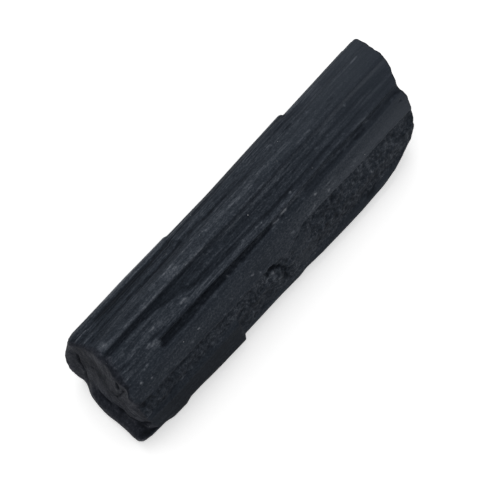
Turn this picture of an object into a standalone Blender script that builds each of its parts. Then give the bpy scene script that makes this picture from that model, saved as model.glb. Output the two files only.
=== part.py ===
"""A rough log of black tourmaline, lying on its broadest prism face.

The crystal grew as one piece, so it is one closed solid. Its long axis is X and +Z is up.
A point of its skin has two coordinates: x, its place along the axis, and girth, the distance
walked round the section. Girth is 0 on the crest and grows towards the rough flank at -Y.
Lengths are in millimetres until the mesh is written, which is in metres.
"""

import bmesh
import bpy
import numpy as np
from mathutils import Vector, noise

METRES = 0.001

# Driving dimensions
HALF_LENGTH = 38.3
AXIS_HEIGHT = 7.6
CORNER_SHARPNESS = 30
CREST_ANGLE = 81.9

# The prism faces of the section: outward angle in degrees (0 is +Y, 90 is up), distance from the axis
PRISM_FACES = {
    "back": (0.0, 9.05),
    "back_bevel": (26.6, 9.2),
    "top_back": (68.2, 8.3),
    "top_front": (104.0, 7.9),
    "shoulder": (142.7, 8.35),
    "flank": (166.0, 9.1),
    "lower_front": (225.0, 11.5),
    "base": (270.0, 7.85),
    "lower_back": (329.0, 9.25),
}

# How far some faces stand out from that distance, as (x, extra) along the crystal
SWELLS = {
    "back": ((-38, 0.9), (-33, 1.1), (-20, 0.7), (-10, 0.35), (0, 0.0), (20, -0.05), (38, -0.05)),
    "back_bevel": ((-38, 0.3), (-33, 0.65), (-20, 0.42), (-10, 0.15), (0, 0.05), (20, 0.05), (38, -0.1)),
    "top_back": ((-38, -0.5), (-30, -0.1), (0, 0.0), (28, -0.1), (38, -0.5)),
    "top_front": ((-38, -0.6), (-30, -0.1), (0, 0.0), (28, -0.1), (38, -0.6)),
    "shoulder": ((-38, -0.4), (-30, 0.0), (28, 0.0), (38, -0.5)),
    "flank": ((-38, -0.4), (-30, 0.0), (0, 0.1), (15, 0.4), (28, 0.4), (38, 0.0)),
    "lower_back": ((-38, -0.5), (-30, 0.3), (0, 0.0), (24, -0.4), (38, -0.9)),
}

# Faces of the grid that becomes the skin: along the crystal, across its top and up its sides
RINGS = 48
TOP_COLUMNS = 34
SIDE_COLUMNS = 18

# Where the skin steps sharply: two rings stand this far either side of each step
GROOVE_START = -26.0
PLATE_STEP = -13.0
STRIP_STEP = -10.35
GROOVE_SHALLOWS = 3.6
LAYER_STEP = 19.3
STEP_HALF_WIDTH = 0.25

# Lengths over which the rings follow the broken ends
LEFT_REACH = 12.0
RIGHT_REACH = 27.0
SETTLING_ROUNDS = 3

# Girth of the lines that run straight along the crystal
LAYER_LINE = -12.7
STRIP_OUTER = -9.8
STRIP_INNER = -8.15
SEAM = -7.6
CHIPPED_TOP = -7.1
CHIPPED_FOOT = -4.6
RIB_FOOT = -4.1
RIB_SHOULDER = -2.5
BAND_MIDDLE = 8.2
FRONT_CORNER = 13.2
PLATE_FURROW = 14.0
PLATE_EDGE = 14.6
PLATE_FOOT = 18.5
FOOT_TOP = 19.6
FOOT_BOTTOM = 20.6
BASE_FRONT = 22.7
BASE_BACK = 37.3
BREAK_MIDDLE = 39.0
BREAK_EDGE = 40.8
RIDGE = 41.3
FURROW_START = 42.1
FURROW_END = 43.0
BACK_LEVEL = 43.8

# Girth of the sharp edges that wander, as (x, girth)
HIGH_EDGE = (
    (-38, -1.0), (-34, -0.9), (-27, -0.85), (-17, -0.65), (-12, -0.5), (-3, -0.05), (6, -0.15), (18, 0.3),
    (38, 0.6),
)
VALLEY_END = (
    (-38, -0.4), (-34, -0.4), (-29, -0.35), (-24.6, -0.1), (-22, 0.3), (-20.3, 0.8), (-17.3, 1.7),
    (-13.5, 2.9), (-6.5, 3.2), (5, 3.4), (38, 3.4),
)
LOW_EDGE = (
    (-38, 4.1), (-26, 4.2), (-13.6, 4.35), (-6.5, 4.6), (7.6, 5.05), (14.6, 4.85), (28.7, 5.4),
    (38, 5.4),
)
GROOVE_END = (
    (-38, 4.8), (-26.2, 4.9), (-25, 5.5), (-22.5, 6.0), (-18, 6.0), (-6.5, 5.85), (1, 5.9), (5, 6.1),
    (12, 6.5), (38, 6.6),
)
BAND_END = (
    (-38, 9.9), (-31, 9.9), (-20, 10.25), (-13, 10.8), (-6, 11.1), (-2.5, 11.1), (1, 11.8), (2.8, 11.25),
    (6.3, 10.0), (12, 10.2), (20, 10.7), (29, 10.9), (33.6, 11.4), (38, 11.6),
)

# Widths of the steep walls beside ribs and furrows, and of the low rib's top
WALL_WIDTH = 0.4
VALLEY_RISE_WIDTH = 0.4
GROOVE_WALL_WIDTH = 0.38
RIB_TOP_WIDTH = 0.35

# Height of the ribs and depth of the furrows, as (x, height)
HIGH_RIB = ((-38, 0.3), (-34, 0.4), (-32, 0.6), (-20, 0.55), (-5, 0.45), (6, 0.3), (18, 0.12), (38, 0.05))
VALLEY = (
    (-38, -0.2), (-35, -0.4), (-29, -0.5), (-24, -0.7), (-20, -0.85), (-12, -0.85), (0, -0.5), (12, -0.3),
    (38, -0.15),
)
LOW_RIB = ((-38, 0.0), (-33, 0.15), (-10, 0.05), (10, 0.0))
GROOVE = (
    (GROOVE_START - STEP_HALF_WIDTH, 0.0), (GROOVE_START + STEP_HALF_WIDTH, -1.15), (-13, -1.35), (-6, -1.3),
    (GROOVE_SHALLOWS - STEP_HALF_WIDTH, -1.0), (GROOVE_SHALLOWS + STEP_HALF_WIDTH, -0.5), (10, -0.45),
    (14, -0.65), (30, -0.6), (38, -0.4),
)
BAND_CROWN = 0.1

# Layers that stand out or have broken away, as (x, height)
EDGE_STRIP = (
    (-38, 0.0), (-34, 0.25), (STRIP_STEP - STEP_HALF_WIDTH, 0.3), (STRIP_STEP + STEP_HALF_WIDTH, 0.0),
    (LAYER_STEP - STEP_HALF_WIDTH, 0.0), (LAYER_STEP + STEP_HALF_WIDTH, -0.7), (38, -0.6),
)
BACK_LAYER = ((LAYER_STEP - STEP_HALF_WIDTH, 0.0), (LAYER_STEP + STEP_HALF_WIDTH, -0.75), (38, -0.7))
CHIPPED_BAND = (
    (-31, 0.0), (-30, -0.4), (STRIP_STEP - STEP_HALF_WIDTH, -0.4), (STRIP_STEP + STEP_HALF_WIDTH, -0.05),
    (LAYER_STEP - STEP_HALF_WIDTH, -0.05), (LAYER_STEP + STEP_HALF_WIDTH, -0.3), (38, -0.2),
)
SEAM_DEPTH = (
    (-36, 0.0), (-33, -0.6), (STRIP_STEP - STEP_HALF_WIDTH, -0.8), (STRIP_STEP + STEP_HALF_WIDTH, -0.15),
    (LAYER_STEP, -0.2), (38, -0.3),
)
CHIPPED_SLANT = 1.1
ROUGH_DEPTH = ((-38, -0.2), (-12, -0.35), (-4, -0.45), (3, -0.15), (6, -0.4), (28, -0.35), (38, -0.2))
SIDE_PLATE = (
    (-38, 0.2), (-30, 0.5), (PLATE_STEP - STEP_HALF_WIDTH, 0.7), (PLATE_STEP + STEP_HALF_WIDTH, -0.2),
    (-4, -0.2), (3, 0.2), (6, -0.1), (38, 0.0),
)
FOOT = (
    (-38, -0.3), (-33, -0.1), (-31.2, 0.35), (-28.2, 0.45), (-26.8, 0.15), (-23.8, 0.3), (-19.7, 0.6),
    (PLATE_STEP - STEP_HALF_WIDTH, 0.85), (PLATE_STEP + STEP_HALF_WIDTH, 0.05), (-3, 0.3), (1.3, 0.55),
    (3.3, 0.4), (7.6, 0.75), (18, 1.05), (22.5, 1.0), (26, 1.4), (33, 1.35), (38, 1.0),
)
LOWER_BREAK = ((5, 0.0), (9, -0.5), (38, -0.3))
BACK_RIDGE = ((-38, 0.1), (-24, 0.2), (30, 0.1), (38, 0.0))
BACK_FURROW = ((-38, 0.0), (-24, -0.5), (18, -0.7), (30, 0.0))

# Lumps of the rough flank: size of one lump and how far it stands out
LUMP_SIZE = 2.3
LUMP_HEIGHT = 0.32
LUMP_SEED = Vector((3.1, 7.7, 1.9))
ROUGH_END = ((PLATE_STEP - STEP_HALF_WIDTH, 14.2), (PLATE_STEP + STEP_HALF_WIDTH, 19.0))
ROUGH_FADE = 0.7

# A hooked pit in the flank, as (x, girth, depth, radius)
PIT = (
    (-4.2, 12.2, 0.6, 0.8), (-3.4, 11.5, 0.8, 0.7), (-2.6, 11.8, 0.9, 0.8), (-1.8, 13.2, 0.9, 0.8),
    (-1.1, 14.6, 0.9, 0.9), (-0.6, 15.6, 0.8, 0.9), (-1.0, 16.6, 0.5, 0.9),
)

# The broken left end: x of its top rim across y, how it leans outwards, and the ledge at its foot
LEFT_TOP_RIM = (
    (-10.5, -35.4), (-9.3, -36.2), (-8.2, -36.0), (-6.9, -35.4), (-5.4, -36.3), (-4.5, -34.9), (-2.6, -35.1),
    (0, -34.3), (2.2, -33.6), (3.4, -33.0), (4.4, -33.3), (5.8, -34.2), (7.5, -34.7), (8.6, -35.0),
    (9.4, -34.3), (9.7, -33.4), (10.2, -32.3),
)
LEFT_LEAN = (
    (-10, 0.0), (-6.5, 0.11), (0, 0.25), (3.4, 0.25), (5.4, 0.18), (7.5, 0.21), (9.0, 0.22), (9.5, 0.26),
    (10, 0.2),
)
LEFT_LEAN_TOP = 13.0
LEFT_LEDGE = (
    (-10.6, -36.2), (-9.9, -36.9), (-9.3, -38.3), (-8.4, -38.7), (-7.4, -38.5), (-6.5, -38.2), (-5.4, -38.05),
    (-4.1, -37.9), (-2.5, -38.1), (-1.0, -38.5), (0.6, -38.5), (1.7, -38.2), (2.6, -37.8), (3.1, -37.1),
    (3.6, -36.3), (4.1, -35.7), (4.5, -35.8), (5.2, -36.05), (8, -36.2), (10, -34.8),
)
LEFT_LEDGE_TOP = 3.6
LEFT_LEDGE_RISE = 0.5

# The broken right end: x of its rim across y, the step half way down, and the chip at the lower front
RIGHT_RIM = (
    (-10.5, 35.5), (-7.6, 35.7), (-6.4, 35.95), (-5.4, 35.7), (-4.7, 35.6), (-2.7, 36.65), (-1.3, 37.6),
    (-0.7, 37.85), (0.6, 37.95), (2.1, 38.45), (4.4, 38.55), (5.9, 38.8), (7.0, 38.9), (10, 38.7),
)
RIGHT_STEP_TOP = 8.5
RIGHT_STEP_RISE = 1.0
RIGHT_STEP_DEPTH = 0.9
CHIP_START = 7.0
CHIP_HEIGHT = 9.0
CHIP_LEAN = 0.35
CHIP_REACH = 4.45
CHIP_POWER = 5

# Lumps of the broken ends, which fade out towards the rim
END_LUMP_SIZE = 3.0
END_LUMP_HEIGHT = 0.35
END_SEED = Vector((11.3, 2.4, 5.8))
END_LUMP_FADE = 0.2


def blend(value, start, end):
    """Rise smoothly from 0 at start to 1 at end."""
    part = np.clip((value - start) / (end - start), 0.0, 1.0)
    return part * part * (3.0 - 2.0 * part)


def along(where, points):
    """Read a value that wanders, from a few (place, value) points."""
    places, values = zip(*points)
    return np.interp(where, places, values)


def between(value, knots):
    """Read straight lines drawn through knots, whose places and heights differ from point to point."""
    result = knots[0][1]
    for (start, low), (end, high) in zip(knots, knots[1:]):
        part = np.clip((value - start) / (end - start), 0.0, 1.0)
        result = np.where(value >= start, low + (high - low) * part, result)
    return result


def lumps(places, size, seed):
    """Give smooth noise between about -1 and 1 at each place."""
    return np.array([noise.noise(Vector(place) / size + seed) for place in places])


def radius(angle, x):
    """Distance from the axis to the prism faces, with their edges slightly rounded."""
    total = 0.0
    for name, (face_angle, distance) in PRISM_FACES.items():
        reach = distance + along(x, SWELLS.get(name, ((0, 0.0),)))
        facing = np.maximum(np.cos(angle - np.radians(face_angle)), 0.0)
        total = total + (facing / reach) ** CORNER_SHARPNESS
    return total ** (-1.0 / CORNER_SHARPNESS)


def section_walk():
    """Walk once round the middle section, and give the angle and the girth at each stride."""
    angle = np.radians(np.arange(0.0, 360.25, 0.25))
    reach = radius(angle, 0.0)
    across = reach * np.cos(angle)
    height = np.maximum(AXIS_HEIGHT + reach * np.sin(angle), 0.0)
    strides = np.hypot(np.diff(across), np.diff(height))
    girth = np.concatenate(([0.0], np.cumsum(strides)))
    return angle, girth - np.interp(np.radians(CREST_ANGLE), angle, girth)


def profile_knots(x):
    """The skin's relief across the girth: (girth, height) at each knot, back to front and under."""
    level = np.zeros_like(x)
    high_edge = along(x, HIGH_EDGE)
    low_edge = along(x, LOW_EDGE)
    groove_end = along(x, GROOVE_END)
    band_end = along(x, BAND_END)
    valley_end = along(x, VALLEY_END)
    high_rib = along(x, HIGH_RIB)
    valley = along(x, VALLEY)
    low_rib = along(x, LOW_RIB)
    groove = along(x, GROOVE)
    strip = along(x, EDGE_STRIP)
    chipped = along(x, CHIPPED_BAND)
    rough = along(x, ROUGH_DEPTH)
    plate = along(x, SIDE_PLATE)
    foot = along(x, FOOT)
    broken = along(x, LOWER_BREAK)
    furrow = along(x, BACK_FURROW)
    return (
        (level + LAYER_LINE, along(x, BACK_LAYER)),
        (level + STRIP_OUTER, strip),
        (level + STRIP_INNER, strip),
        (level + SEAM, along(x, SEAM_DEPTH)),
        (level + CHIPPED_TOP, along(x + CHIPPED_SLANT, CHIPPED_BAND)),
        (level + CHIPPED_FOOT, chipped * 0.7),
        (level + RIB_FOOT, level),
        (level + RIB_SHOULDER, high_rib),
        (high_edge, high_rib * 0.9),
        (high_edge + WALL_WIDTH, valley),
        (valley_end, valley * 0.9),
        (valley_end + VALLEY_RISE_WIDTH, valley * 0.4),
        (low_edge - RIB_TOP_WIDTH, low_rib),
        (low_edge, low_rib * 0.9),
        (low_edge + GROOVE_WALL_WIDTH, groove),
        (groove_end, groove * 0.85),
        (groove_end + GROOVE_WALL_WIDTH, level),
        (level + BAND_MIDDLE, level + BAND_CROWN),
        (band_end, level),
        (band_end + WALL_WIDTH, rough),
        (level + PLATE_FURROW, rough),
        (level + PLATE_EDGE, plate * 0.6),
        (level + PLATE_FOOT, plate),
        (level + FOOT_TOP, foot),
        (level + FOOT_BOTTOM, foot),
        (level + BASE_FRONT, level),
        (level + BASE_BACK, level),
        (level + BREAK_MIDDLE, broken),
        (level + BREAK_EDGE, broken * 0.8),
        (level + RIDGE, along(x, BACK_RIDGE)),
        (level + FURROW_START, furrow),
        (level + FURROW_END, furrow * 0.7),
        (level + BACK_LEVEL, level),
    )


def column_girth(column, x, turn):
    """Girth of each column at x. Columns run along the sharp edges, so these stay sharp."""
    level = np.zeros_like(x)
    high_edge = along(x, HIGH_EDGE)
    low_edge = along(x, LOW_EDGE)
    groove_end = along(x, GROOVE_END)
    band_end = along(x, BAND_END)
    return between(column, (
        (0, level + CHIPPED_FOOT),
        (8, high_edge),
        (9, high_edge + WALL_WIDTH),
        (16, low_edge - RIB_TOP_WIDTH),
        (17, low_edge),
        (18, low_edge + GROOVE_WALL_WIDTH),
        (20, groove_end),
        (21, groove_end + GROOVE_WALL_WIDTH),
        (31, band_end),
        (32, band_end + WALL_WIDTH),
        (34, level + FRONT_CORNER),
        (36, level + PLATE_FURROW),
        (37, level + PLATE_EDGE),
        (44, level + PLATE_FOOT),
        (46, level + FOOT_TOP),
        (48, level + FOOT_BOTTOM),
        (52, level + BASE_FRONT),
        (86, level + BASE_BACK),
        (89, level + BREAK_EDGE),
        (90, level + RIDGE),
        (91, level + FURROW_START),
        (92, level + FURROW_END),
        (95, level + LAYER_LINE + turn),
        (98, level + STRIP_OUTER + turn),
        (99, level + STRIP_INNER + turn),
        (100, level + SEAM + turn),
        (101, level + CHIPPED_TOP + turn),
        (104, level + CHIPPED_FOOT + turn),
    ))


def rough_zone(x, girth):
    """1 on the granular part of the flank and 0 off it."""
    start = along(x, BAND_END)
    end = along(x, ROUGH_END)
    return blend(girth, start, start + ROUGH_FADE) * (1.0 - blend(girth, end - ROUGH_FADE, end))


def pit_depth(x, girth):
    """Depth of the hooked pit."""
    depth = np.zeros_like(x)
    for pit_x, pit_girth, deep, pit_radius in PIT:
        distance = np.hypot(x - pit_x, girth - pit_girth)
        depth = np.maximum(depth, deep * (1.0 - blend(distance, 0.0, pit_radius)))
    return depth


def left_end(y, z):
    """Where the left end breaks off, with a ledge that juts out at the foot."""
    upper = along(y, LEFT_TOP_RIM) - along(y, LEFT_LEAN) * np.maximum(LEFT_LEAN_TOP - z, 0.0)
    ledge = np.minimum(along(y, LEFT_LEDGE), upper)
    above = blend(z, LEFT_LEDGE_TOP - LEFT_LEDGE_RISE, LEFT_LEDGE_TOP)
    return ledge + (upper - ledge) * above


def right_end(y, z):
    """Where the right end breaks off, set back below half height and chipped at the lower front."""
    below = 1.0 - blend(z, RIGHT_STEP_TOP - RIGHT_STEP_RISE, RIGHT_STEP_TOP)
    chip = np.maximum((-y - CHIP_START) + CHIP_LEAN * (CHIP_HEIGHT - z), 0.0)
    return along(y, RIGHT_RIM) - RIGHT_STEP_DEPTH * below - (chip / CHIP_REACH) ** CHIP_POWER


def grid_mesh():
    """A cube cut into a grid, whose faces become the skin and the two broken ends."""
    mesh = bmesh.new()
    bmesh.ops.create_cube(mesh, size=2.0)
    for axis, pieces in enumerate((RINGS, TOP_COLUMNS, SIDE_COLUMNS)):
        edges = []
        for edge in mesh.edges:
            direction = edge.verts[1].co - edge.verts[0].co
            if abs(direction[axis]) > 1e-6:
                edges.append(edge)
        bmesh.ops.subdivide_edges(mesh, edges=edges, cuts=pieces - 1, use_grid_fill=True)
    return mesh


def ring_places(part):
    """Turn the grid's place along the axis, from -1 to 1, into millimetres."""
    stations = np.linspace(-HALF_LENGTH, HALF_LENGTH, RINGS + 1)
    for step in (GROOVE_START, PLATE_STEP, STRIP_STEP, GROOVE_SHALLOWS, LAYER_STEP):
        after = int(np.searchsorted(stations, step))
        stations[after - 1] = step - STEP_HALF_WIDTH
        stations[after] = step + STEP_HALF_WIDTH
    return np.interp(part, np.linspace(-1.0, 1.0, RINGS + 1), stations)


def column_number(across, up):
    """Count columns round the edge of the grid's square section, from the top's back corner."""
    edge = 1.0 - 1e-6
    top = TOP_COLUMNS * (1.0 - across) / 2.0
    front = TOP_COLUMNS + SIDE_COLUMNS * (1.0 - up) / 2.0
    base = TOP_COLUMNS + SIDE_COLUMNS + TOP_COLUMNS * (1.0 + across) / 2.0
    back = 2 * TOP_COLUMNS + SIDE_COLUMNS + SIDE_COLUMNS * (1.0 + up) / 2.0
    return np.select([up >= edge, across <= -edge, up <= -edge], [top, front, base], back)


def skin_point(x, column, walk_angle, walk_girth):
    """Place of a column of the skin at x, as its y and z."""
    turn = walk_girth[-1] - walk_girth[0]
    girth = column_girth(column, x, turn)
    girth = np.where(girth > walk_girth[-1], girth - turn, girth)
    angle = np.interp(girth, walk_girth, walk_angle)
    plain = radius(angle, x)
    places = np.stack([x, plain * np.cos(angle), plain * np.sin(angle)], axis=1)
    height = between(girth, profile_knots(x)) - pit_depth(x, girth)
    height = height + rough_zone(x, girth) * LUMP_HEIGHT * lumps(places, LUMP_SIZE, LUMP_SEED)
    reach = plain + height
    y = reach * np.cos(angle)
    z = np.maximum(AXIS_HEIGHT + reach * np.sin(angle), 0.0)
    return y, z


def shape_grid(mesh):
    """Push each corner of the grid onto the crystal."""
    walk_angle, walk_girth = section_walk()
    grid = np.array([vert.co[:] for vert in mesh.verts])
    ring = np.maximum(np.abs(grid[:, 1]), np.abs(grid[:, 2]))
    inner = ring < 1.0 - 1e-6
    divisor = np.where(ring > 0.0, ring, 1.0)
    column = column_number(grid[:, 1] / divisor, grid[:, 2] / divisor)

    plain_x = ring_places(grid[:, 0])
    left = 1.0 - blend(plain_x, -HALF_LENGTH, LEFT_REACH - HALF_LENGTH)
    right = blend(plain_x, HALF_LENGTH - RIGHT_REACH, HALF_LENGTH)
    x = plain_x
    for _ in range(SETTLING_ROUNDS):
        y, z = skin_point(x, column, walk_angle, walk_girth)
        x = plain_x + left * (left_end(y, z) + HALF_LENGTH) + right * (right_end(y, z) - HALF_LENGTH)

    y = y * ring
    z = AXIS_HEIGHT + (z - AXIS_HEIGHT) * ring
    ends = np.where(grid[:, 0] < 0.0, left_end(y, z), right_end(y, z))
    places = np.stack([ends, y, z], axis=1)
    fade = blend(1.0 - ring, 0.0, END_LUMP_FADE)
    ends = ends + END_LUMP_HEIGHT * fade * lumps(places, END_LUMP_SIZE, END_SEED)
    x = np.where(inner, ends, x)
    for vert, place in zip(mesh.verts, np.stack([x, y, z], axis=1)):
        vert.co = Vector(place) * METRES


def centre_on_base(mesh):
    """Put the middle of the box's bottom at the origin."""
    places = np.array([vert.co[:] for vert in mesh.verts])
    low, high = places.min(axis=0), places.max(axis=0)
    middle = Vector(((low[0] + high[0]) / 2.0, (low[1] + high[1]) / 2.0, low[2]))
    bmesh.ops.translate(mesh, verts=mesh.verts, vec=-middle)


def merge_base(mesh):
    """Make the flat base one face before the skin is cut into triangles."""
    base = [face for face in mesh.faces if all(vert.co.z < 1e-7 for vert in face.verts)]
    bmesh.ops.dissolve_faces(mesh, faces=base, use_verts=False)
    bmesh.ops.triangulate(mesh, faces=mesh.faces, quad_method="SHORT_EDGE", ngon_method="BEAUTY")


def black_tourmaline():
    """Nearly black, faintly blue, with a low vitreous shine."""
    material = bpy.data.materials.new("black_tourmaline")
    material.use_nodes = True
    shader = material.node_tree.nodes["Principled BSDF"]
    shader.inputs["Base Color"].default_value = (0.020, 0.022, 0.027, 1.0)
    shader.inputs["Roughness"].default_value = 0.5
    shader.inputs["Metallic"].default_value = 0.0
    shader.inputs["IOR"].default_value = 1.64
    return material


def tourmaline_crystal(collection):
    """Make the crystal and put it in the collection."""
    grid = grid_mesh()
    shape_grid(grid)
    centre_on_base(grid)
    merge_base(grid)
    bmesh.ops.recalc_face_normals(grid, faces=grid.faces)
    mesh = bpy.data.meshes.new("tourmaline_crystal")
    grid.to_mesh(mesh)
    grid.free()
    mesh.materials.append(black_tourmaline())
    crystal = bpy.data.objects.new("tourmaline_crystal", mesh)
    collection.objects.link(crystal)


def main():
    for old in list(bpy.data.objects):
        bpy.data.objects.remove(old)
    collection = bpy.data.collections.new("tourmaline crystal")
    bpy.context.scene.collection.children.link(collection)
    tourmaline_crystal(collection)


main()
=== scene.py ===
"""Looks of a rough black tourmaline log: its fine skin, its finish, a white floor, light and camera.

The crystal is one piece. Its skin has two coordinates: x, the place along the crystal, and girth,
the distance walked round the section. Girth is 0 on the crest and grows towards the rough flank
at -Y. Lengths are in millimetres until they reach a mesh, a lamp or the camera, which use metres.
"""

import bmesh
import bpy
import numpy as np
from mathutils import Matrix, Vector, noise

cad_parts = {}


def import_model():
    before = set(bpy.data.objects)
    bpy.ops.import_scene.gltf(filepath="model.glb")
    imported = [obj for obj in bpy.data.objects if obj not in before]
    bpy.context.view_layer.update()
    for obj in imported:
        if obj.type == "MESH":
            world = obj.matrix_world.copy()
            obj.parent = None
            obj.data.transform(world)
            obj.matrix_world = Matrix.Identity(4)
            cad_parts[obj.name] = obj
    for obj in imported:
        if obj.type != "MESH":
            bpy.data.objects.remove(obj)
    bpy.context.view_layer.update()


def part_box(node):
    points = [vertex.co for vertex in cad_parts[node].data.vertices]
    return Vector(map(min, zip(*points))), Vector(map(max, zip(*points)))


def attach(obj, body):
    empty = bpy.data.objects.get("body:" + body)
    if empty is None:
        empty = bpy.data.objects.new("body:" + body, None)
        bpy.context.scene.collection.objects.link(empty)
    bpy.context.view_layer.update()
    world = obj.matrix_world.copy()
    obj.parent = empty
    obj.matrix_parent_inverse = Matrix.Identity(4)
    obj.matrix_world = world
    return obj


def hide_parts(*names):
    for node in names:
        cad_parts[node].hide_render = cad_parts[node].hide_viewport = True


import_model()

METRES = 0.001
CRYSTAL = "tourmaline_crystal"

# Driving dimensions
HALF_LENGTH = 38.3
AXIS_HEIGHT = 7.6
CORNER_SHARPNESS = 30
CREST_ANGLE = 81.9

# The prism faces of the section: outward angle in degrees (0 is +Y, 90 is up), distance from the axis
PRISM_FACES = {
    "back": (0.0, 9.05),
    "back_bevel": (26.6, 9.2),
    "top_back": (68.2, 8.3),
    "top_front": (104.0, 7.9),
    "shoulder": (142.7, 8.35),
    "flank": (166.0, 9.1),
    "lower_front": (225.0, 11.5),
    "base": (270.0, 7.85),
    "lower_back": (329.0, 9.25),
}

# How far some faces stand out from that distance, as (x, extra) along the crystal
SWELLS = {
    "back": ((-38, 0.9), (-33, 1.1), (-20, 0.7), (-10, 0.35), (0, 0.0), (20, -0.05), (38, -0.05)),
    "back_bevel": ((-38, 0.3), (-33, 0.65), (-20, 0.42), (-10, 0.15), (0, 0.05), (20, 0.05), (38, -0.1)),
    "top_back": ((-38, -0.5), (-30, -0.1), (0, 0.0), (28, -0.1), (38, -0.5)),
    "top_front": ((-38, -0.6), (-30, -0.1), (0, 0.0), (28, -0.1), (38, -0.6)),
    "shoulder": ((-38, -0.4), (-30, 0.0), (28, 0.0), (38, -0.5)),
    "flank": ((-38, -0.4), (-30, 0.0), (0, 0.1), (15, 0.4), (28, 0.4), (38, 0.0)),
    "lower_back": ((-38, -0.5), (-30, 0.3), (0, 0.0), (24, -0.4), (38, -0.9)),
}

# Faces of the grid that becomes the skin: along the crystal, across its top and up its sides
RINGS = 300
TOP_COLUMNS = 104
SIDE_COLUMNS = 38

# Where the skin steps sharply along x, and half the length of each step
GROOVE_START = -25.2
GROOVE_SLANT = 0.7
PLATE_STEP = -13.0
STRIP_STEP = -10.35
LAYER_STEP = 19.3
STEP_HALF_WIDTH = 0.25

# Lengths over which the rings follow the broken ends
LEFT_REACH = 12.0
RIGHT_REACH = 27.0
SETTLING_ROUNDS = 3

# Girth of the lines that run straight along the crystal
LAYER_LINE = -12.7
STRIP_OUTER = -9.8
STRIP_INNER = -8.15
SEAM = -7.6
CHIPPED_TOP = -7.1
CHIPPED_FOOT = -4.6
RIB_FOOT = -4.1
RIB_SHOULDER = -2.5
BAND_MIDDLE = 8.2
FRONT_CORNER = 13.2
PLATE_FURROW = 14.0
PLATE_EDGE = 14.6
PLATE_FOOT = 18.5
FOOT_TOP = 19.6
FOOT_BOTTOM = 20.6
BASE_FRONT = 22.7
BASE_BACK = 37.3
BREAK_MIDDLE = 39.0
BREAK_EDGE = 40.8
RIDGE = 41.3
FURROW_START = 42.1
FURROW_END = 43.0
BACK_LEVEL = 43.8

# Girth of the sharp edges that wander, as (x, girth)
HIGH_EDGE = (
    (-38, -1.0), (-34, -0.9), (-27, -0.85), (-17, -0.65), (-12, -0.5), (-3, 0.05), (6, 0.05), (18, 0.3),
    (38, 0.6),
)
VALLEY_END = (
    (-38, -0.4), (-34, -0.4), (-29, -0.35), (-24.6, -0.1), (-22, 0.3), (-20.3, 0.8), (-17.3, 1.7),
    (-13.5, 2.9), (-6.5, 3.2), (5, 3.4), (38, 3.4),
)
LOW_EDGE = (
    (-38, 4.1), (-26, 4.2), (-20, 4.3), (-13.6, 4.5), (-6.5, 4.77), (3, 5.1), (7.6, 5.15), (14.6, 5.0),
    (28.7, 5.5), (38, 5.4),
)
GROOVE_END = (
    (-38, 4.8), (-26.4, 4.9), (-25.8, 5.8), (-18, 6.0), (-6.5, 5.9), (1, 5.9), (5, 6.1), (12, 6.5), (38, 6.6),
)
BAND_END = (
    (-38, 9.9), (-31, 9.9), (-20, 10.25), (-13, 10.8), (-6, 11.1), (-2.5, 11.1), (1, 11.8), (2.8, 11.25),
    (6.3, 10.0), (12, 10.2), (20, 10.7), (29, 10.9), (33.6, 11.4), (38, 11.6),
)

# Widths of the steep walls beside ribs and furrows, and of the low rib's top
WALL_WIDTH = 0.4
VALLEY_RISE_WIDTH = 0.4
GROOVE_WALL_WIDTH = 0.38
RIB_TOP_WIDTH = 0.35

# Height of the ribs and depth of the furrows, as (x, height)
HIGH_RIB = ((-38, 0.3), (-34, 0.4), (-32, 0.6), (-20, 0.55), (-5, 0.45), (6, 0.3), (18, 0.12), (38, 0.05))
VALLEY = (
    (-38, -0.2), (-35, -0.4), (-29, -0.5), (-24, -0.7), (-20, -0.85), (-12, -0.85), (0, -0.5), (12, -0.3),
    (38, -0.15),
)
LOW_RIB = ((-38, 0.0), (-33, 0.15), (-10, 0.05), (10, 0.0))
GROOVE = (
    (GROOVE_START - STEP_HALF_WIDTH, 0.0), (GROOVE_START + STEP_HALF_WIDTH, -1.15), (-13, -1.35), (-6, -1.3),
    (-2.5, -1.1), (1.3, -0.6), (5, -0.45), (10, -0.45), (14, -0.65), (30, -0.6), (38, -0.4),
)
BAND_CROWN = 0.1

# Layers that stand out or have broken away, as (x, height)
EDGE_STRIP = (
    (-38, 0.0), (-34, 0.25), (STRIP_STEP - STEP_HALF_WIDTH, 0.3), (STRIP_STEP + STEP_HALF_WIDTH, 0.0),
    (LAYER_STEP - STEP_HALF_WIDTH, 0.0), (LAYER_STEP + STEP_HALF_WIDTH, -0.7), (38, -0.6),
)
BACK_LAYER = ((LAYER_STEP - STEP_HALF_WIDTH, 0.0), (LAYER_STEP + STEP_HALF_WIDTH, -0.75), (38, -0.7))
CHIPPED_BAND = (
    (-31, 0.0), (-30, -0.4), (STRIP_STEP - STEP_HALF_WIDTH, -0.4), (STRIP_STEP + STEP_HALF_WIDTH, -0.05),
    (LAYER_STEP - STEP_HALF_WIDTH, -0.05), (LAYER_STEP + STEP_HALF_WIDTH, -0.3), (38, -0.2),
)
SEAM_DEPTH = (
    (-36, 0.0), (-33, -0.6), (STRIP_STEP - STEP_HALF_WIDTH, -0.8), (STRIP_STEP + STEP_HALF_WIDTH, -0.15),
    (LAYER_STEP, -0.2), (38, -0.3),
)
CHIPPED_SLANT = 1.1
ROUGH_DEPTH = ((-38, -0.2), (-12, -0.35), (-4, -0.45), (3, -0.15), (6, -0.4), (28, -0.35), (38, -0.2))
SIDE_PLATE = (
    (-38, 0.2), (-30, 0.5), (PLATE_STEP - STEP_HALF_WIDTH, 0.7), (PLATE_STEP + STEP_HALF_WIDTH, -0.2),
    (-4, -0.2), (3, 0.2), (6, -0.1), (38, 0.0),
)
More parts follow.
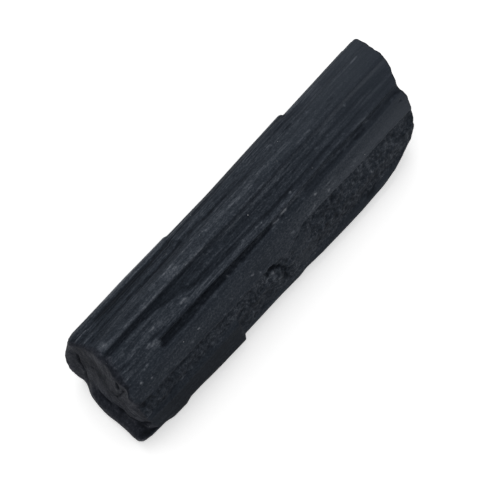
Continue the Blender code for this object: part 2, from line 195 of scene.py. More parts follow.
FOOT = (
    (-38, -0.3), (-33, -0.1), (-31.2, 0.35), (-28.2, 0.45), (-26.8, 0.15), (-23.8, 0.3), (-19.7, 0.6),
    (PLATE_STEP - STEP_HALF_WIDTH, 0.85), (PLATE_STEP + STEP_HALF_WIDTH, 0.05), (-3, 0.3), (1.3, 0.55),
    (3.3, 0.4), (7.6, 0.75), (18, 1.05), (22.5, 1.0), (26, 1.4), (33, 1.35), (38, 1.0),
)
LOWER_BREAK = ((5, 0.0), (9, -0.5), (38, -0.3))
BACK_RIDGE = ((-38, 0.1), (-24, 0.2), (30, 0.1), (38, 0.0))
BACK_FURROW = ((-38, 0.0), (-24, -0.5), (18, -0.7), (30, 0.0))

# Lumps of the rough flank: size of one lump and how far it stands out
LUMP_SIZE = 2.3
LUMP_HEIGHT = 0.32
LUMP_SEED = Vector((3.1, 7.7, 1.9))
ROUGH_END = ((PLATE_STEP - STEP_HALF_WIDTH, 14.2), (PLATE_STEP + STEP_HALF_WIDTH, 19.0))
ROUGH_FADE = 0.7

# A hooked pit in the flank, as (x, girth, depth, radius)
PIT = (
    (-4.2, 12.2, 0.6, 0.8), (-3.4, 11.5, 0.8, 0.7), (-2.6, 11.8, 0.9, 0.8), (-1.8, 13.2, 0.9, 0.8),
    (-1.1, 14.6, 0.9, 0.9), (-0.6, 15.6, 0.8, 0.9), (-1.0, 16.6, 0.5, 0.9),
)

# The broken left end: x of its top rim across y, how it leans outwards, and the ledge at its foot
LEFT_TOP_RIM = (
    (-10.5, -34.9), (-9.3, -35.8), (-8.2, -36.0), (-6.9, -35.4), (-5.4, -36.3), (-4.5, -35.0), (-2.6, -35.3),
    (0, -34.8), (1.2, -34.3), (2.2, -34.6), (3.4, -34.4), (4.4, -34.3), (5.8, -34.5), (7.5, -34.8),
    (8.6, -35.0), (9.4, -34.3), (9.7, -33.4), (10.2, -32.3),
)
LEFT_LEAN = (
    (-10, 0.0), (-6.5, 0.11), (0, 0.22), (1.2, 0.23), (2.2, 0.18), (3.4, 0.155), (5.4, 0.145), (7.5, 0.2),
    (9.0, 0.22), (9.5, 0.26), (10, 0.2),
)
LEFT_LEAN_TOP = 13.0
LEFT_LEDGE = (
    (-10.6, -36.2), (-9.9, -36.9), (-9.3, -38.3), (-8.4, -38.7), (-7.4, -38.5), (-6.5, -38.2), (-5.4, -38.05),
    (-4.1, -37.9), (-2.5, -38.1), (-1.0, -38.5), (0.6, -38.5), (1.7, -38.2), (2.6, -37.8), (3.1, -37.1),
    (3.6, -36.3), (4.1, -35.7), (4.5, -35.8), (5.2, -36.05), (8, -36.2), (10, -34.8),
)
LEFT_LEDGE_TOP = 3.6
LEFT_LEDGE_RISE = 0.5

# The broken right end: x of its rim across y, the step half way down, and the chip at the lower front
RIGHT_RIM = (
    (-10.5, 35.5), (-7.6, 35.7), (-6.4, 35.95), (-5.4, 35.7), (-4.7, 35.6), (-2.7, 36.65), (-1.3, 37.6),
    (-0.7, 37.85), (0.6, 37.95), (2.1, 38.45), (4.4, 38.55), (5.9, 38.8), (7.0, 38.9), (10, 38.7),
)
RIGHT_STEP_TOP = 8.5
RIGHT_STEP_RISE = 1.0
RIGHT_STEP_DEPTH = 0.9
CHIP_START = 7.0
CHIP_HEIGHT = 9.0
CHIP_LEAN = 0.35
CHIP_REACH = 4.45
CHIP_POWER = 5

# Lumps of the broken ends, which fade out towards the rim
END_LUMP_SIZE = 3.0
END_LUMP_HEIGHT = 0.35
END_SEED = Vector((11.3, 2.4, 5.8))
END_LUMP_FADE = 0.2

# Striae that run along the crystal: (length, width, height), coarse to fine
STRIAE = ((30.0, 0.9, 0.16), (18.0, 0.42, 0.13), (9.0, 0.24, 0.09))
STRIAE_SEED = Vector((5.2, 9.1, 0.7))

# How strongly the striae show across the girth, as (girth, share)
STRIAE_SHARE = (
    (-12.7, 0.7), (-8.0, 0.8), (-4.5, 0.85), (-3.0, 0.45), (-0.6, 0.4), (0.2, 0.55), (3.5, 0.65), (4.8, 0.6),
    (6.5, 0.3), (9.5, 0.2), (12.0, 0.15), (18.5, 0.12), (22.0, 0.7), (43.0, 0.8), (45.6, 0.7),
)
SMOOTH_HEAD = ((-38, 1.0), (8, 1.0), (22, 0.55), (30, 0.3), (38, 0.2))

# Tone of the skin, from 1 where it is pale to -1 where it is black, as (x, tone), and the (x, x)
# between which a tone comes or goes. Part of it is painted light and shade: the pale rib edge is partly
# wear and partly painted highlight, the pale back strip is painted light, and the black seam, the dark left
# end of the valley and the darker feet of the valley's and the groove's walls are painted shade
# The pale parts of the back strip are painted light
STRIP_TONE = (
    (-38, -0.1), (-31, 0.1), (-22, 0.45), (-17, 0.5), (-12, 0.4), (-9.5, -0.1), (-6, 0.0), (-2, -0.2),
    (0, -0.4), (6, -0.4), (9, -0.1), (15, -0.1), (19, -0.4), (22, -0.2), (24, 0.4), (28, 0.1), (38, 0.1),
)
# Painted shade: the seam's crevice is drawn black
SEAM_TONE = (
    (-36, -0.2), (-30.5, -0.2), (-28.8, -1.5), (-27, -2.0), (-18, -2.0), (-12.5, -1.4), (-10, -0.6),
    (-3, -0.9), (6, -1.0), (12, -0.4), (18.5, -0.3), (20, 0.1), (38, 0.1),
)
CHIPPED_TONE = (
    (-38, -0.2), (-31, -0.4), (-10.6, -0.5), (-10, -0.15), (-3, -0.15), (0, -0.4), (5, -0.4), (8, -0.15),
    (15, -0.1), (19, -0.25), (22, -0.1), (24.5, 0.3), (28, 0.0), (38, 0.0),
)
RIB_BACK_TONE = ((-38, -0.1), (-30, -0.25), (-20, -0.4), (0, -0.3), (12, -0.05), (25, 0.1), (38, 0.0))
RIB_TONE = (
    (-34, -0.2), (-31.5, 0.0), (-28, -0.1), (-22, 0.0), (-17, 0.2), (-11.5, 0.2), (-8.5, 0.0), (-5, 0.0),
    (-2.5, 0.0), (0, -0.1), (4, -0.1), (12, 0.0), (38, 0.0),
)
# The pale edge of the high rib: partly wear, partly painted highlight
EDGE_TONE = (
    (-33, -0.2), (-31.5, -0.1), (-28, 0.0), (-22, 0.05), (-19, 0.55), (-15, 0.75), (-10, 0.65), (-5, 0.35),
    (2, 0.35), (6, 0.3), (10, 0.0), (38, 0.0),
)
# Painted shade darkens the valley's left end; further right it turns paler
VALLEY_TONE = (
    (-36, -0.1), (-33, -0.4), (-30, -0.4), (-25, -0.5), (-21, -0.8), (-18, -0.55), (-15, -0.3), (-12, -0.2),
    (-10, 0.05), (-5, 0.15), (0, 0.2), (5, 0.4), (10, 0.5), (15, 0.6), (30, 0.55), (38, 0.5),
)
VALLEY_TOP_WIDTH = 0.9
PLATE_LIP_TONE = 0.2
PLATE_LIP_FADE = (-14.0, -12.0)
PAST_PLATE = (-14.0, -8.0)
# Painted shade: how much darker the valley's floor is than its top
VALLEY_FOOT_SHADE = (
    (-14, 0.2), (-10, 0.25), (-4, 0.3), (6, 0.4), (10, 0.55), (14, 0.65), (30, 0.6), (38, 0.4),
)
MIDDLE_TONE = (
    (-38, -0.1), (-30, -0.05), (-23, 0.05), (-15, 0.0), (-8, 0.0), (0, 0.0), (8, -0.1), (16, -0.2),
    (26, -0.15), (38, -0.1),
)
LOW_RIB_TONE = (
    (-38, 0.0), (-28, 0.0), (-26, -0.2), (-22, -0.25), (-19, -0.15), (-14, 0.05), (-8, 0.15), (-4, 0.05),
    (0, -0.15), (6, -0.25), (10, 0.0), (14, -0.05), (20, 0.0), (38, 0.1),
)
GROOVE_TONE = (
    (-34, 0.2), (-30, 0.0), (-25.6, 0.1), (-25.1, -0.25), (-19, -0.1), (-14, 0.1), (-8, 0.3), (-2, 0.4),
    (2, 0.4), (6, 0.8), (12, 0.5), (16, 0.7), (20, 0.5), (26, 0.45), (30, 0.6), (38, 0.2),
)
# Painted shade at the foot of the groove's far wall
GROOVE_FOOT_SHADE = 0.8
GROOVE_FOOT_START = (-26.2, -25.4)
BAND_TOP_TONE = (
    (-38, 0.0), (-24, 0.0), (-18, -0.05), (-8, -0.05), (-2, -0.15), (4, -0.15), (7, -0.5), (14, -0.5),
    (20, -0.4), (38, -0.3),
)
BAND_TONE = ((-38, 0.0), (-5, 0.0), (3, 0.3), (10, 0.5), (20, 0.6), (38, 0.4))
FLANK_TONE = (
    (-38, -0.3), (-31, -0.3), (-28, -0.4), (-20, -0.35), (-16, -0.25), (-14, 0.15), (-6, 0.25), (-2, 0.25),
    (2, 0.1), (6, 0.0), (14, -0.1), (18, 0.05), (22, 0.1), (31, 0.1), (34, -0.3), (38, -0.3),
)
PLATE_TONE = (
    (-38, -0.7), (-32, -0.75), (-29, -1.0), (-20, -1.0), (-14, -0.8), (-12, -0.3), (-2, -0.2), (2, 0.0),
    (9, -0.25), (38, 0.0),
)

# Marks of the skin, placed as the camera sees them in view steps: how far along the crystal and how far
# across it each starts, how far along and across it ends, its half width in steps, and its tone. Dark marks
# in crevices, pits and along the foot are partly painted shade, and pale marks on crests partly painted
# highlight
STRIP_MARKS = (
    (-51, 59, -47.5, 55, 1.1, -0.8), (-47.5, 55, -43, 50, 1.1, -0.7), (-43, 50, -40.5, 47.5, 1.1, -0.7),
    (-42, 54.6, -22, 54.2, 0.9, -0.8), (-38, 49, -26, 48.5, 1.2, -0.6), (-30, 47.5, -26, 47.5, 1.6, -0.5),
    (-18, 48, -10, 47, 2, -0.6), (-42, 52, -2, 51.5, 1, 0.3), (-45, 57, -12, 56.5, 1, 0.25),
    (-8, 46, 2, 45.5, 1.8, -0.7), (-8, 49.5, 0, 49.5, 1.5, 0.4), (-40, 43.5, 0, 43, 1, -0.35),
    (-5, 46, 60, 43.5, 1.5, -0.5), (40, 55.5, 84, 54, 0.9, -0.5), (-10, 56, 8, 55.5, 0.9, -0.4),
    (-100, 47.3, -88, 47, 1.3, -0.6), (-88, 47, -50, 46.3, 1.1, -0.5), (-121, 49.5, -116, 50.5, 0.9, -0.7),
    (-118, 48.5, -100, 48.8, 1.1, 0.3), (-170, 58.5, -152, 58.5, 1, -0.3),
    (-160, 50.5, -150, 49.5, 1, -0.35), (-100, 44, -55, 43, 0.9, -0.3), (112, 56.2, 122, 54.8, 1.9, -1.6),
    (85, 54.5, 100, 54.3, 0.9, -0.4), (103, 52.5, 108, 52.5, 1.8, -0.5), (125, 54.2, 140, 54, 1.4, 0.5),
    (108, 44.6, 113, 44.6, 1, -0.8), (114, 44.6, 119.5, 44.6, 1.3, -1.2),
    (121, 44.2, 165, 43.6, 0.9, -0.55), (165, 43.8, 216, 43, 0.9, -0.4), (119, 41.2, 130, 41, 0.9, 0.4),
    (220, 43, 231, 43, 1, -0.4), (205, 40.3, 213, 40.2, 0.9, 1), (170, 41, 216, 40.3, 1, 0.4),
    (207, 54.6, 224, 54.2, 1.3, 0.6), (142, 50.5, 150, 51, 1.2, 0.3),
)
RIB_MARKS = (
    (-170, 34.5, -158, 34.5, 1.8, 0.8), (-150, 37, -141, 37, 2.2, 0.5), (-143, 33, -127, 32.8, 1, 0.9),
    (-127, 32.3, -101, 31.2, 0.9, 0.8), (-116, 34, -103, 33.5, 2, 0.5), (-101, 32, -84, 31.3, 1.2, 0.8),
    (-98, 39, -91, 39, 1.2, 1), (-86, 39.3, -62, 39, 1.1, 1.1), (-80, 36.5, -62, 36, 1.8, 0.5),
    (-78, 33.6, -72, 33.4, 1.4, 0.7), (-70, 34, -61, 33.6, 1.9, 0.8), (-110, 40, -107, 40, 0.9, 0.6),
    (-157, 41, -150, 40, 1.6, -0.3), (-135, 38, -118, 37, 2, -0.3), (-56, 35, -50, 33, 1.5, -0.3),
    (-33.5, 42, -31, 41, 0.9, 0.9), (-19.5, 38.4, -16, 36.8, 1.2, 1.1), (-16, 36.8, -12, 37.2, 1.1, 1),
    (-45, 33, -41, 33, 1.4, 0.5), (-46, 29.2, -27, 27.6, 0.9, 0.9), (-60, 29.8, -46, 29.2, 0.8, 0.5),
    (-9, 38, -3, 37.5, 2.6, 0.5), (2, 37.5, 9, 36.5, 2.4, 0.5), (17, 35.8, 30, 33.6, 1.1, 1),
    (29, 33.4, 40, 33, 1.1, 1), (43, 32.8, 51, 32.6, 0.9, 1), (40, 36.5, 52, 36.6, 1.1, 0.5),
    (56, 39, 60, 36.5, 0.9, 0.4), (58, 36.5, 71, 36.3, 1, 0.7), (76, 36.4, 85, 36.3, 0.9, 0.5),
    (72, 32, 78, 31.8, 1, 0.4), (20, 26.2, 48, 25.9, 0.9, 0.5), (48, 25.7, 58, 25.4, 0.9, 1.3),
    (63, 25.6, 69, 25.5, 0.9, 0.4), (77, 25.8, 82, 25.8, 0.9, 0.5), (26, 40.5, 29, 40.6, 1.1, 0.6),
    (44, 40, 47, 40, 1.1, 0.6), (90, 36, 103, 35.3, 1, 0.9), (86.5, 46, 89.5, 46, 2.2, 0.9),
    (111, 26.8, 118, 26.6, 0.9, 1.3), (121, 26.9, 128, 26.6, 0.9, 1.2), (161, 32.6, 167, 31.1, 0.9, -0.9),
    (152, 29.6, 160, 29.4, 0.9, -0.7), (153, 28.9, 154, 28.8, 0.9, 1), (137, 29.8, 150, 29.6, 0.9, -0.35),
    (138.5, 40.6, 139.5, 40.6, 1.2, 0.8), (133, 31, 139, 30.6, 0.8, 0.4),
)
VALLEY_MARKS = (
    (-171, 28.8, -120, 27.3, 1.6, -0.3), (-124, 24, -119, 22.6, 1.5, -0.6),
    (-100, 28.5, -45, 26.8, 1.5, -0.5), (-45, 26.8, 2, 25, 1.3, -0.5), (2, 22.9, 60, 22.2, 1.6, -0.4),
    (-176, 21.5, -138, 21.3, 1, 0.4), (-93, 21.5, -89, 21.5, 1.1, 0.6), (-100, 17, -88, 15, 1.1, 0.4),
    (-88, 15, -73, 11, 1.1, 0.27), (-80, 21, -75, 18, 1, 0.3), (-71, 16.2, -67, 13.5, 1, 0.5),
    (-76, 15, -66, 13, 1.9, -0.5), (-41, 22.6, -24, 19.2, 1.1, 0.5), (-49, 26, -36, 22.6, 1, 0.35),
    (-20, 17.3, 2, 14.2, 1, 0.45), (-18, 19.6, 0, 17, 1, 0.3), (-18, 14.6, -5, 13.6, 1.5, -0.4),
    (-19.5, 14.5, -17.5, 15.5, 1.1, 0.8), (-26, 9.8, -10, 9, 0.9, 0.8), (-28, 8.2, -6, 7.2, 0.9, -0.7),
    (-42, 5.8, -20, 4.4, 0.9, -0.7), (-22, 4.6, -4, 3, 1, -0.9), (-62, 20, -54, 14, 1, 0.25),
    (-42, 17, -34, 9, 1, 0.25), (-2, 14.4, 22, 13, 1, 0.4), (0, 12.8, 22, 11.6, 0.9, -0.4),
    (-10, 20.4, 60, 20, 1, 0.25), (10, 16.6, 36, 15.6, 0.9, 0.35), (14, 18.3, 60, 17.4, 0.9, 0.2),
    (30, 13.4, 50, 13, 0.9, 0.3), (62, 12, 76, 11.8, 1, -0.45), (20, 6, 58, 4.3, 0.9, 0.45),
    (10, 3.6, 80, 2.2, 1.1, -0.95), (66, 18, 70, 16, 1, 0.4), (-10, 11, 10, 10.2, 0.9, -0.3),
    (22, 9, 60, 8.4, 1.2, -0.2), (128, 15.8, 160, 15.4, 1.2, 0.4), (80, 11.8, 226, 11, 1.1, -0.27),
    (117, 10, 119.5, 9.6, 1.2, 1.2), (135, 10, 137, 10, 1, 0.9), (169, 16.6, 169.6, 16.2, 1.3, 1.3),
    (172, 8, 201, 7.6, 0.9, 0.5), (80, 6.8, 102, 5.4, 1, 0.3), (178, 4.6, 212, 4.2, 0.9, 0.35),
    (95, 4, 128, 3, 1, -0.55), (126, 2.8, 129.5, 1.8, 1.1, -0.8), (128, 2.2, 192, 1.4, 1, -0.6),
    (136, 7.8, 156, 7.2, 1.2, 0.25),
)
MIDDLE_MARKS = (
    (-167, 16.5, -163, 15.5, 1.1, 0.9), (-136.5, 15, -135, 14.5, 1, 1), (-129, 11.8, -123, 11.4, 1.3, 1),
    (-118, 9.6, -114, 9.4, 1.1, 1.1), (-117, 17.6, -110, 17.4, 2.6, 0.4), (-97, 11.5, -93, 13.5, 1.1, 0.8),
    (-101, 8.6, -96, 8, 1.2, 0.6), (-150, 8.2, -130, 8, 0.9, 0.3), (-150, 6.2, -128, 6, 0.9, -0.35),
    (-170, 4.2, -160, 4, 0.9, -0.4), (-136, 4.2, -118, 3.4, 1, -1.1), (-119, 3, -90, 1.8, 0.9, -0.8),
    (-120, 1.4, -92, 0.8, 0.9, 0.3), (-142, 1.6, -131, 0.9, 2, 1.4), (-140, 4, -138, 3.4, 1.2, 1),
    (-138, -2, -133, -1.8, 1.6, 0.6), (-181, -3, -167, -6, 3.6, 0.35), (-162, -10.3, -156, -9.8, 1.4, 1.3),
    (-158, -4, -146, -5, 3, 0.25), (-185, -8, -165, -8.4, 1.2, -0.4), (-180, -11.3, -150, -10.9, 1, -0.35),
    (-87, 6.6, -80, 6, 1.2, 1.7), (-84, 3.9, -62, 3.4, 1.2, 0.8), (-78, 5.6, -66, 5.4, 0.8, -0.5),
    (-62, 3, -47, 2.6, 1.1, 0.8), (-92, 8.4, -75, 8.2, 1, 0.35), (-86, -0.2, -20, -0.9, 1.3, 0.5),
    (-60, 6.6, -45, 7, 0.9, -0.35), (-60, 8.8, -48, 9.4, 0.9, 0.3), (-60, 1, -20, 0.7, 1, -0.25),
    (-20, -1, 28, -2.2, 1.2, 0.3), (-12, 1.6, 18, 1, 1.3, 0.3), (0, 3.2, 1.2, 2.4, 1.2, 1.4),
    (18.6, 1.2, 20, 0.9, 1.2, 1.2), (26, 0.3, 26.6, 0.1, 1, 1.2), (25.5, -2.9, 26.5, -3.1, 1.1, 1),
    (68, -0.4, 69, -0.6, 1.2, 2.2), (60, -0.2, 62, -0.3, 1.1, -0.8), (28, -0.8, 60, -1.6, 1, 0.3),
    (44, -3, 76, -3.2, 0.9, 0.35), (71, -0.4, 74, -4.6, 0.9, -0.6), (80, -3.4, 102, -4, 0.9, -0.45),
    (107, -2.4, 146, -2.8, 1.3, 0.5), (146.5, -0.6, 147.6, -1.6, 1.1, 0.9),
    (-172, -0.6, -150, -0.8, 1, -0.25), (-155, 12.5, -140, 12, 1.2, 0.3), (-122, 14, -121, 8, 1, -0.3),
)
GROOVE_MARKS = (
    (-97, -3.6, -91, -4, 1.1, 1.4), (-80.5, -7.8, -79.5, -8, 1.2, 1.3), (-68.4, -7.8, -67.5, -8, 1.1, 1.1),
    (-74.5, -4, -73.5, -4.2, 0.9, 0.7), (-79, -4, -78.5, -4, 0.9, 0.6), (-77.5, -9.4, -76, -9.7, 1.1, 0.8),
    (-36.4, -9.4, -35.5, -9.6, 1.3, 2.3), (-28, -9.8, -25.5, -10, 1.1, 0.9), (-21, -9, -18, -10.9, 1, 1.3),
    (-8.6, -9.4, -7.8, -9.6, 1, 1), (-60, -14, -58, -14, 1.2, 1), (-90, -12.2, -42, -12.3, 0.9, 0.45),
    (-90, -14.4, -40, -14.5, 0.9, -0.5), (-12, -14.4, 40, -14, 0.9, -0.5),
    (40, -13.4, 62, -13.2, 0.9, -0.5), (-10, -12.2, 40, -12.3, 0.9, 0.3), (-112, -5, -106, -7, 1.4, 0.4),
    (-120, -3, -118, -6, 1.2, 0.35), (-125, -9, -110, -9.6, 1, 0.3), (-62, -9.2, -52, -9.4, 1, 0.35),
    (-100, -8.4, -84, -9.2, 1, 0.3), (34, -9.4, 41, -10.3, 1.1, 1.9), (46, -8.5, 53, -8.7, 0.9, 2.6),
    (53, -10.2, 71, -10.5, 0.9, -1.1), (42, -10.6, 47, -10.4, 0.8, -0.7), (12, -7, 16, -7.2, 1.2, 0.5),
    (20, -5, 24, -6, 1.2, 0.7), (26, -7.8, 31, -8, 1, -0.6), (29, -11, 32.5, -12.5, 1, 0.8),
    (16, -9, 28, -9.4, 1, -0.5), (82, -5.4, 102, -6.5, 0.9, 0.45), (112, -5, 140, -5.6, 1, -0.6),
    (100, -11.6, 125, -12.2, 1.5, -0.7), (125, -8, 146, -8.2, 1.3, -0.7), (127, -12, 134, -12.3, 1.2, -0.6),
    (148, -9.2, 168, -8.6, 1.2, -1), (149, -13.2, 166, -13, 1.3, -1.1), (140, -13, 148, -13.2, 1, -0.6),
    (119.5, -9.2, 122, -9.4, 0.9, 0.7), (130, -9.4, 132, -9.8, 0.9, 0.7), (137, -12, 139, -11.8, 0.9, 0.8),
    (142, -11.6, 145, -11.2, 0.9, 0.5), (151, -11.4, 155, -11, 0.9, 0.5),
    (159, -13.2, 162, -12.8, 0.9, 0.8), (171, -10.3, 173, -10.6, 1, 0.9), (155, -6, 176, -6.6, 0.8, 0.7),
    (170, -7, 179, -7.2, 0.8, 0.5), (172, -9.2, 196, -9.4, 1.2, -0.6), (80, -9.6, 96, -10.4, 1.2, -0.5),
    (176, -13, 196, -13.2, 1.6, -0.4), (150, -16.5, 154, -17.5, 1, 0.5), (198, -11.6, 212, -12, 2, -0.5),
    (204, -15, 206.5, -14.4, 1, 0.9), (210.5, -14.4, 212, -14.6, 0.9, 0.8),
    (212, -13.4, 218, -14.6, 1, -0.8), (209.5, -21.6, 211, -22, 1, -1), (108, -8.2, 112, -8.6, 0.9, 0.6),
    (100, -9, 101.5, -12, 0.9, -0.8),
)
BAND_MARKS = (
    (-173.4, -16.6, -172.6, -17, 1.3, 2.2), (-162.4, -21, -161.6, -21.2, 1.1, 1.7),
    (-94.4, -23, -93.6, -23.2, 1.1, 2.2), (-108.4, -27, -107.4, -27.4, 1.2, 1.4),
    (-18.6, -27.6, -17.8, -28, 1.2, 1.7), (-11.6, -31.8, -10.8, -32, 1.3, 2),
    (-66.5, -33, -65, -33.4, 1.3, 0.9), (-42.4, -33.4, -41.4, -33.8, 1.1, 1),
    (-50.5, -28, -49.5, -28.6, 1, 0.7), (-12, -27, -1, -27.4, 2.6, -0.3),
    (83.2, -19.8, 84.2, -20.2, 1.3, 2.3), (39, -28.4, 41.5, -28.8, 1.3, 1.3),
    (73, -28.6, 75, -28.2, 1.2, 1.1), (72, -14.6, 74, -14, 1.1, 0.9), (46.6, -15, 47.6, -15.4, 0.9, 0.7),
    (46, -18, 48, -18.4, 0.9, 0.6), (90, -23, 112, -22.4, 0.9, 0.9), (90, -26, 110, -27, 2.6, 0.3),
    (95, -28.4, 97, -28, 1.1, 0.9), (134, -27, 136, -27.4, 1.1, 0.7), (129, -29, 131, -30.4, 1.1, 0.6),
    (-140, -30, -128, -30.6, 1, 0.3), (65, -29.6, 71, -29, 1.1, 0.5),
)
FLANK_MARKS = (
    (-13, -44, -10, -46, 1.1, 0.6), (-19, -48, -14, -50, 1.2, -0.7), (-15, -51, -12, -54, 1.2, 0.5),
    (-190, -31, -184, -38, 2, -0.6), (-177, -32, -174, -37, 1.6, -0.5),
    (-158, -31.8, -150, -32.4, 1.2, -0.7), (-147, -31, -140, -31.2, 1.2, -1),
    (-138, -31.6, -130, -33.2, 1.2, -0.8), (-128, -33, -124, -35.5, 1.2, -0.9),
    (-141, -35, -127, -36, 1.5, 0.5), (-135, -40, -130, -41.5, 1.2, -1), (-146, -38, -141, -43, 1.1, -0.6),
    (-152, -36, -149, -40, 1.1, -0.5), (-118, -33, -114, -37, 1.3, -0.8), (-116, -38, -111, -41, 1.1, -0.5),
    (-103.5, -33.6, -100, -38, 1.4, -0.9), (-110, -44, -101, -45.5, 1.2, 0.4),
    (-97, -45, -92, -49, 1, 0.35), (-90, -39, -88, -46, 1.1, 0.4), (-88, -46, -82, -47.5, 1.1, 0.5),
    (-81, -36, -72, -37.4, 1.5, -0.7), (-63, -35, -59.5, -41, 1.3, -0.9),
    (-56, -36.6, -45, -37.4, 1.4, -0.5), (-38, -34.6, -31, -37.5, 1.3, -0.8),
    (-43, -39.5, -39, -43.5, 1.1, -0.6), (-24, -38, -22, -45, 1.2, -0.7),
    (-10.5, -35.5, -8.5, -37, 1.2, -0.8), (-39, -47, -34, -53, 1.2, -0.7), (-28, -44, -26, -50, 1.1, -0.5),
    (-69, -49, -64, -50, 1.3, -0.5), (-54, -43, -50, -50, 1.1, 0.4), (-47, -42, -44, -48, 1.1, 0.4),
    (-33, -40, -30, -46, 1.1, 0.45), (-62, -44, -58, -50, 1.1, 0.35), (66, -50.4, 70, -49.6, 1.8, -1.3),
    (60, -51.6, 63, -53, 1.4, -1.3), (42, -45, 45.4, -48.6, 0.9, 1), (55, -31, 58, -34, 1.2, -0.9),
    (50, -31.4, 52.4, -33, 1.1, -0.9), (57, -41.5, 60, -45, 1.2, -0.6), (70, -30.6, 75, -35.4, 1, 0.6),
    (38, -52.4, 41, -54, 1.3, -1), (48, -51, 53, -55, 1.2, -0.7), (35, -33.4, 40, -36, 1.2, -0.7),
    (62, -39, 66, -45, 1.1, 0.35), (75, -38, 79, -45, 1.1, 0.35), (80, -35, 84, -38, 1.2, -0.8),
    (86, -42, 90, -46, 1.2, -0.5), (90, -34, 94, -39, 1.6, -0.8), (99, -35, 104, -33, 1, 0.6),
    (95, -40, 100, -47, 1.1, 0.3), (116, -40.8, 118, -41.4, 1.2, 1.3), (118, -37, 122, -41, 1.2, -0.9),
    (126, -43, 129, -47, 1.2, -0.6), (110, -42, 113, -47, 1.1, -0.5), (140, -38, 143, -46, 1, 0.4),
    (144, -37, 147, -45, 1.2, -0.6), (147, -38, 150, -47, 1, 0.45), (151, -38, 155, -46, 1.2, -0.6),
    (156, -36.6, 158.5, -42, 1.2, -0.9), (159, -36, 166, -33, 1.1, -0.5), (165, -35, 168, -40, 1.2, -0.6),
    (168, -41, 179, -51, 1.1, 0.6), (171, -50, 176, -39, 1.1, 0.5), (180, -40, 186, -48, 2.4, -0.9),
    (187, -36, 191, -50, 1.1, 0.5), (189, -44, 200, -36, 1, 0.5), (192, -48, 206, -38, 1.1, 0.4),
    (160, -44, 164, -52, 1.2, 0.35), (131, -50, 137, -54, 1.2, -0.6), (132, -37, 136, -43, 1, 0.3),
    (103, -50, 108, -54, 1.2, -0.5), (145, -50, 149, -54, 1.2, 0.4), (94, -55, 103, -57, 1.1, -1.1),
    (118, -60.2, 126, -61.4, 2, -1.6), (125, -59, 138, -58.4, 1, -0.8), (90, -46.5, 91, -49.5, 1.2, 0.8),
)
PIT_MARKS = (
    (-9.5, -38.6, -2, -36.6, 1.5, -1), (-2, -36.6, 3, -37.6, 1.7, -1.4), (3, -37.6, 5.5, -42, 1.5, -1.4),
    (5.5, -42, 9, -48, 1.4, -1.4), (9, -48.5, 4.5, -53, 1.7, -1.4), (-6, -43, -2, -41, 1.4, 0.5),
    (-7, -47, -3, -46, 1.4, 0.5), (-2, -50, 1, -49, 1.3, 0.5),
)
FOOT_MARKS = (
    (-173, -61.6, -151, -61.6, 1.5, -1.3), (-70, -59, -22, -59.4, 0.9, -0.9),
    (-68, -58, -64, -58.6, 1.1, 0.9), (-20, -59.8, 5, -60, 0.9, -0.7), (50, -58.4, 92, -58.4, 0.9, 0.7),
    (80, -63, 135, -63.6, 1.2, -0.8), (138, -58.4, 162, -59, 1, 1), (-10, -61.6, 80, -63, 1, -0.6),
    (104, -58.6, 118, -59.6, 1, 0.5), (-150, -60.4, -75, -62.6, 1, -0.5),
)
MARK_GROUPS = (
    (STRIP_MARKS, 0.8), (RIB_MARKS, 0.7), (VALLEY_MARKS, 0.75), (MIDDLE_MARKS, 0.7), (GROOVE_MARKS, 0.8),
    (BAND_MARKS, 0.8), (FLANK_MARKS, 0.65), (PIT_MARKS, 0.8), (FOOT_MARKS, 0.45),
)

# View steps: how many the view is wide, where the steps are counted from (right and up from the middle
# of the view), how the crystal is turned in the view in degrees, and the length of one in millimetres
VIEW_STEPS = 480.0
MARK_MIDDLE = (3.98, -2.71)
MARK_TURN = 48.19
STEP_LENGTH = 0.175

# A corner is seen if it faces the camera by this much, and lies this near, in steps and in millimetres
LEAST_FACING = 0.05
NEAR_STEPS = 1.6
SEEN_DEPTH = 0.9
SLOPE_STEPS = 2.0
LEAST_RISE = 1.0
PLAIN_SLOPE = -0.16
SLOPE_LIMITS = (-0.5, -0.05)

# Marks shorter than this both ways are specks, which are smaller and stand out more
SPECK_STEPS = 2.1
SPECK_WIDTH = 0.85
SPECK_STRENGTH = 0.85
PALE_TONE = 0.8
PALE_SHARE = 0.8
LEAST_HALF_WIDTH = 0.13

# Marks in millimetres: (x, girth) where each starts and ends, half width and tone; the dark lines along
# steps and grooves are partly painted shade, and the pale ones partly painted highlight
SKIN_MARKS = (
    ((-36.4, -7.85), (-33.0, -7.85), 0.25, -0.6),
    ((-35.0, -1.2), (-33.6, -1.1), 0.6, -0.4),
    ((-33.6, -2.0), (-32.2, -1.9), 0.6, 1.2),
    ((1.0, 3.85), (9.5, 3.8), 0.4, -0.7),
    ((0.5, 4.8), (9.5, 4.75), 0.6, 0.55),
    ((9.5, 3.9), (19.0, 3.9), 0.3, -0.35),
    ((10.5, 4.75), (18.5, 4.85), 0.35, 0.45),
    ((9.5, 5.7), (19.0, 5.8), 0.45, -0.4),
    ((10.0, 0.9), (20.0, 0.9), 0.35, -0.3),
    ((1.0, 3.0), (9.0, 2.9), 0.5, -0.3),
    ((-32.0, 3.1), (-29.0, 3.1), 0.6, 0.25),
    ((-25.0, 3.1), (-20.0, 3.2), 0.6, 0.25),
    ((-34.9, 5.2), (-34.4, 4.8), 0.3, 1.0),
    ((-21.0, 6.85), (-9.5, 6.75), 0.14, -0.4),
    ((-35.6, 9.6), (-34.8, 10.5), 0.6, -0.8),
    ((-11.6, 13.4), (-7.6, 13.2), 1.5, -0.55),
    ((-2.0, 13.3), (0.5, 13.3), 0.9, -0.3),
    ((8.8, 13.3), (15.5, 12.8), 1.0, -0.35),
    ((-34.8, 13.5), (-28.5, 13.5), 1.8, -0.3),
)
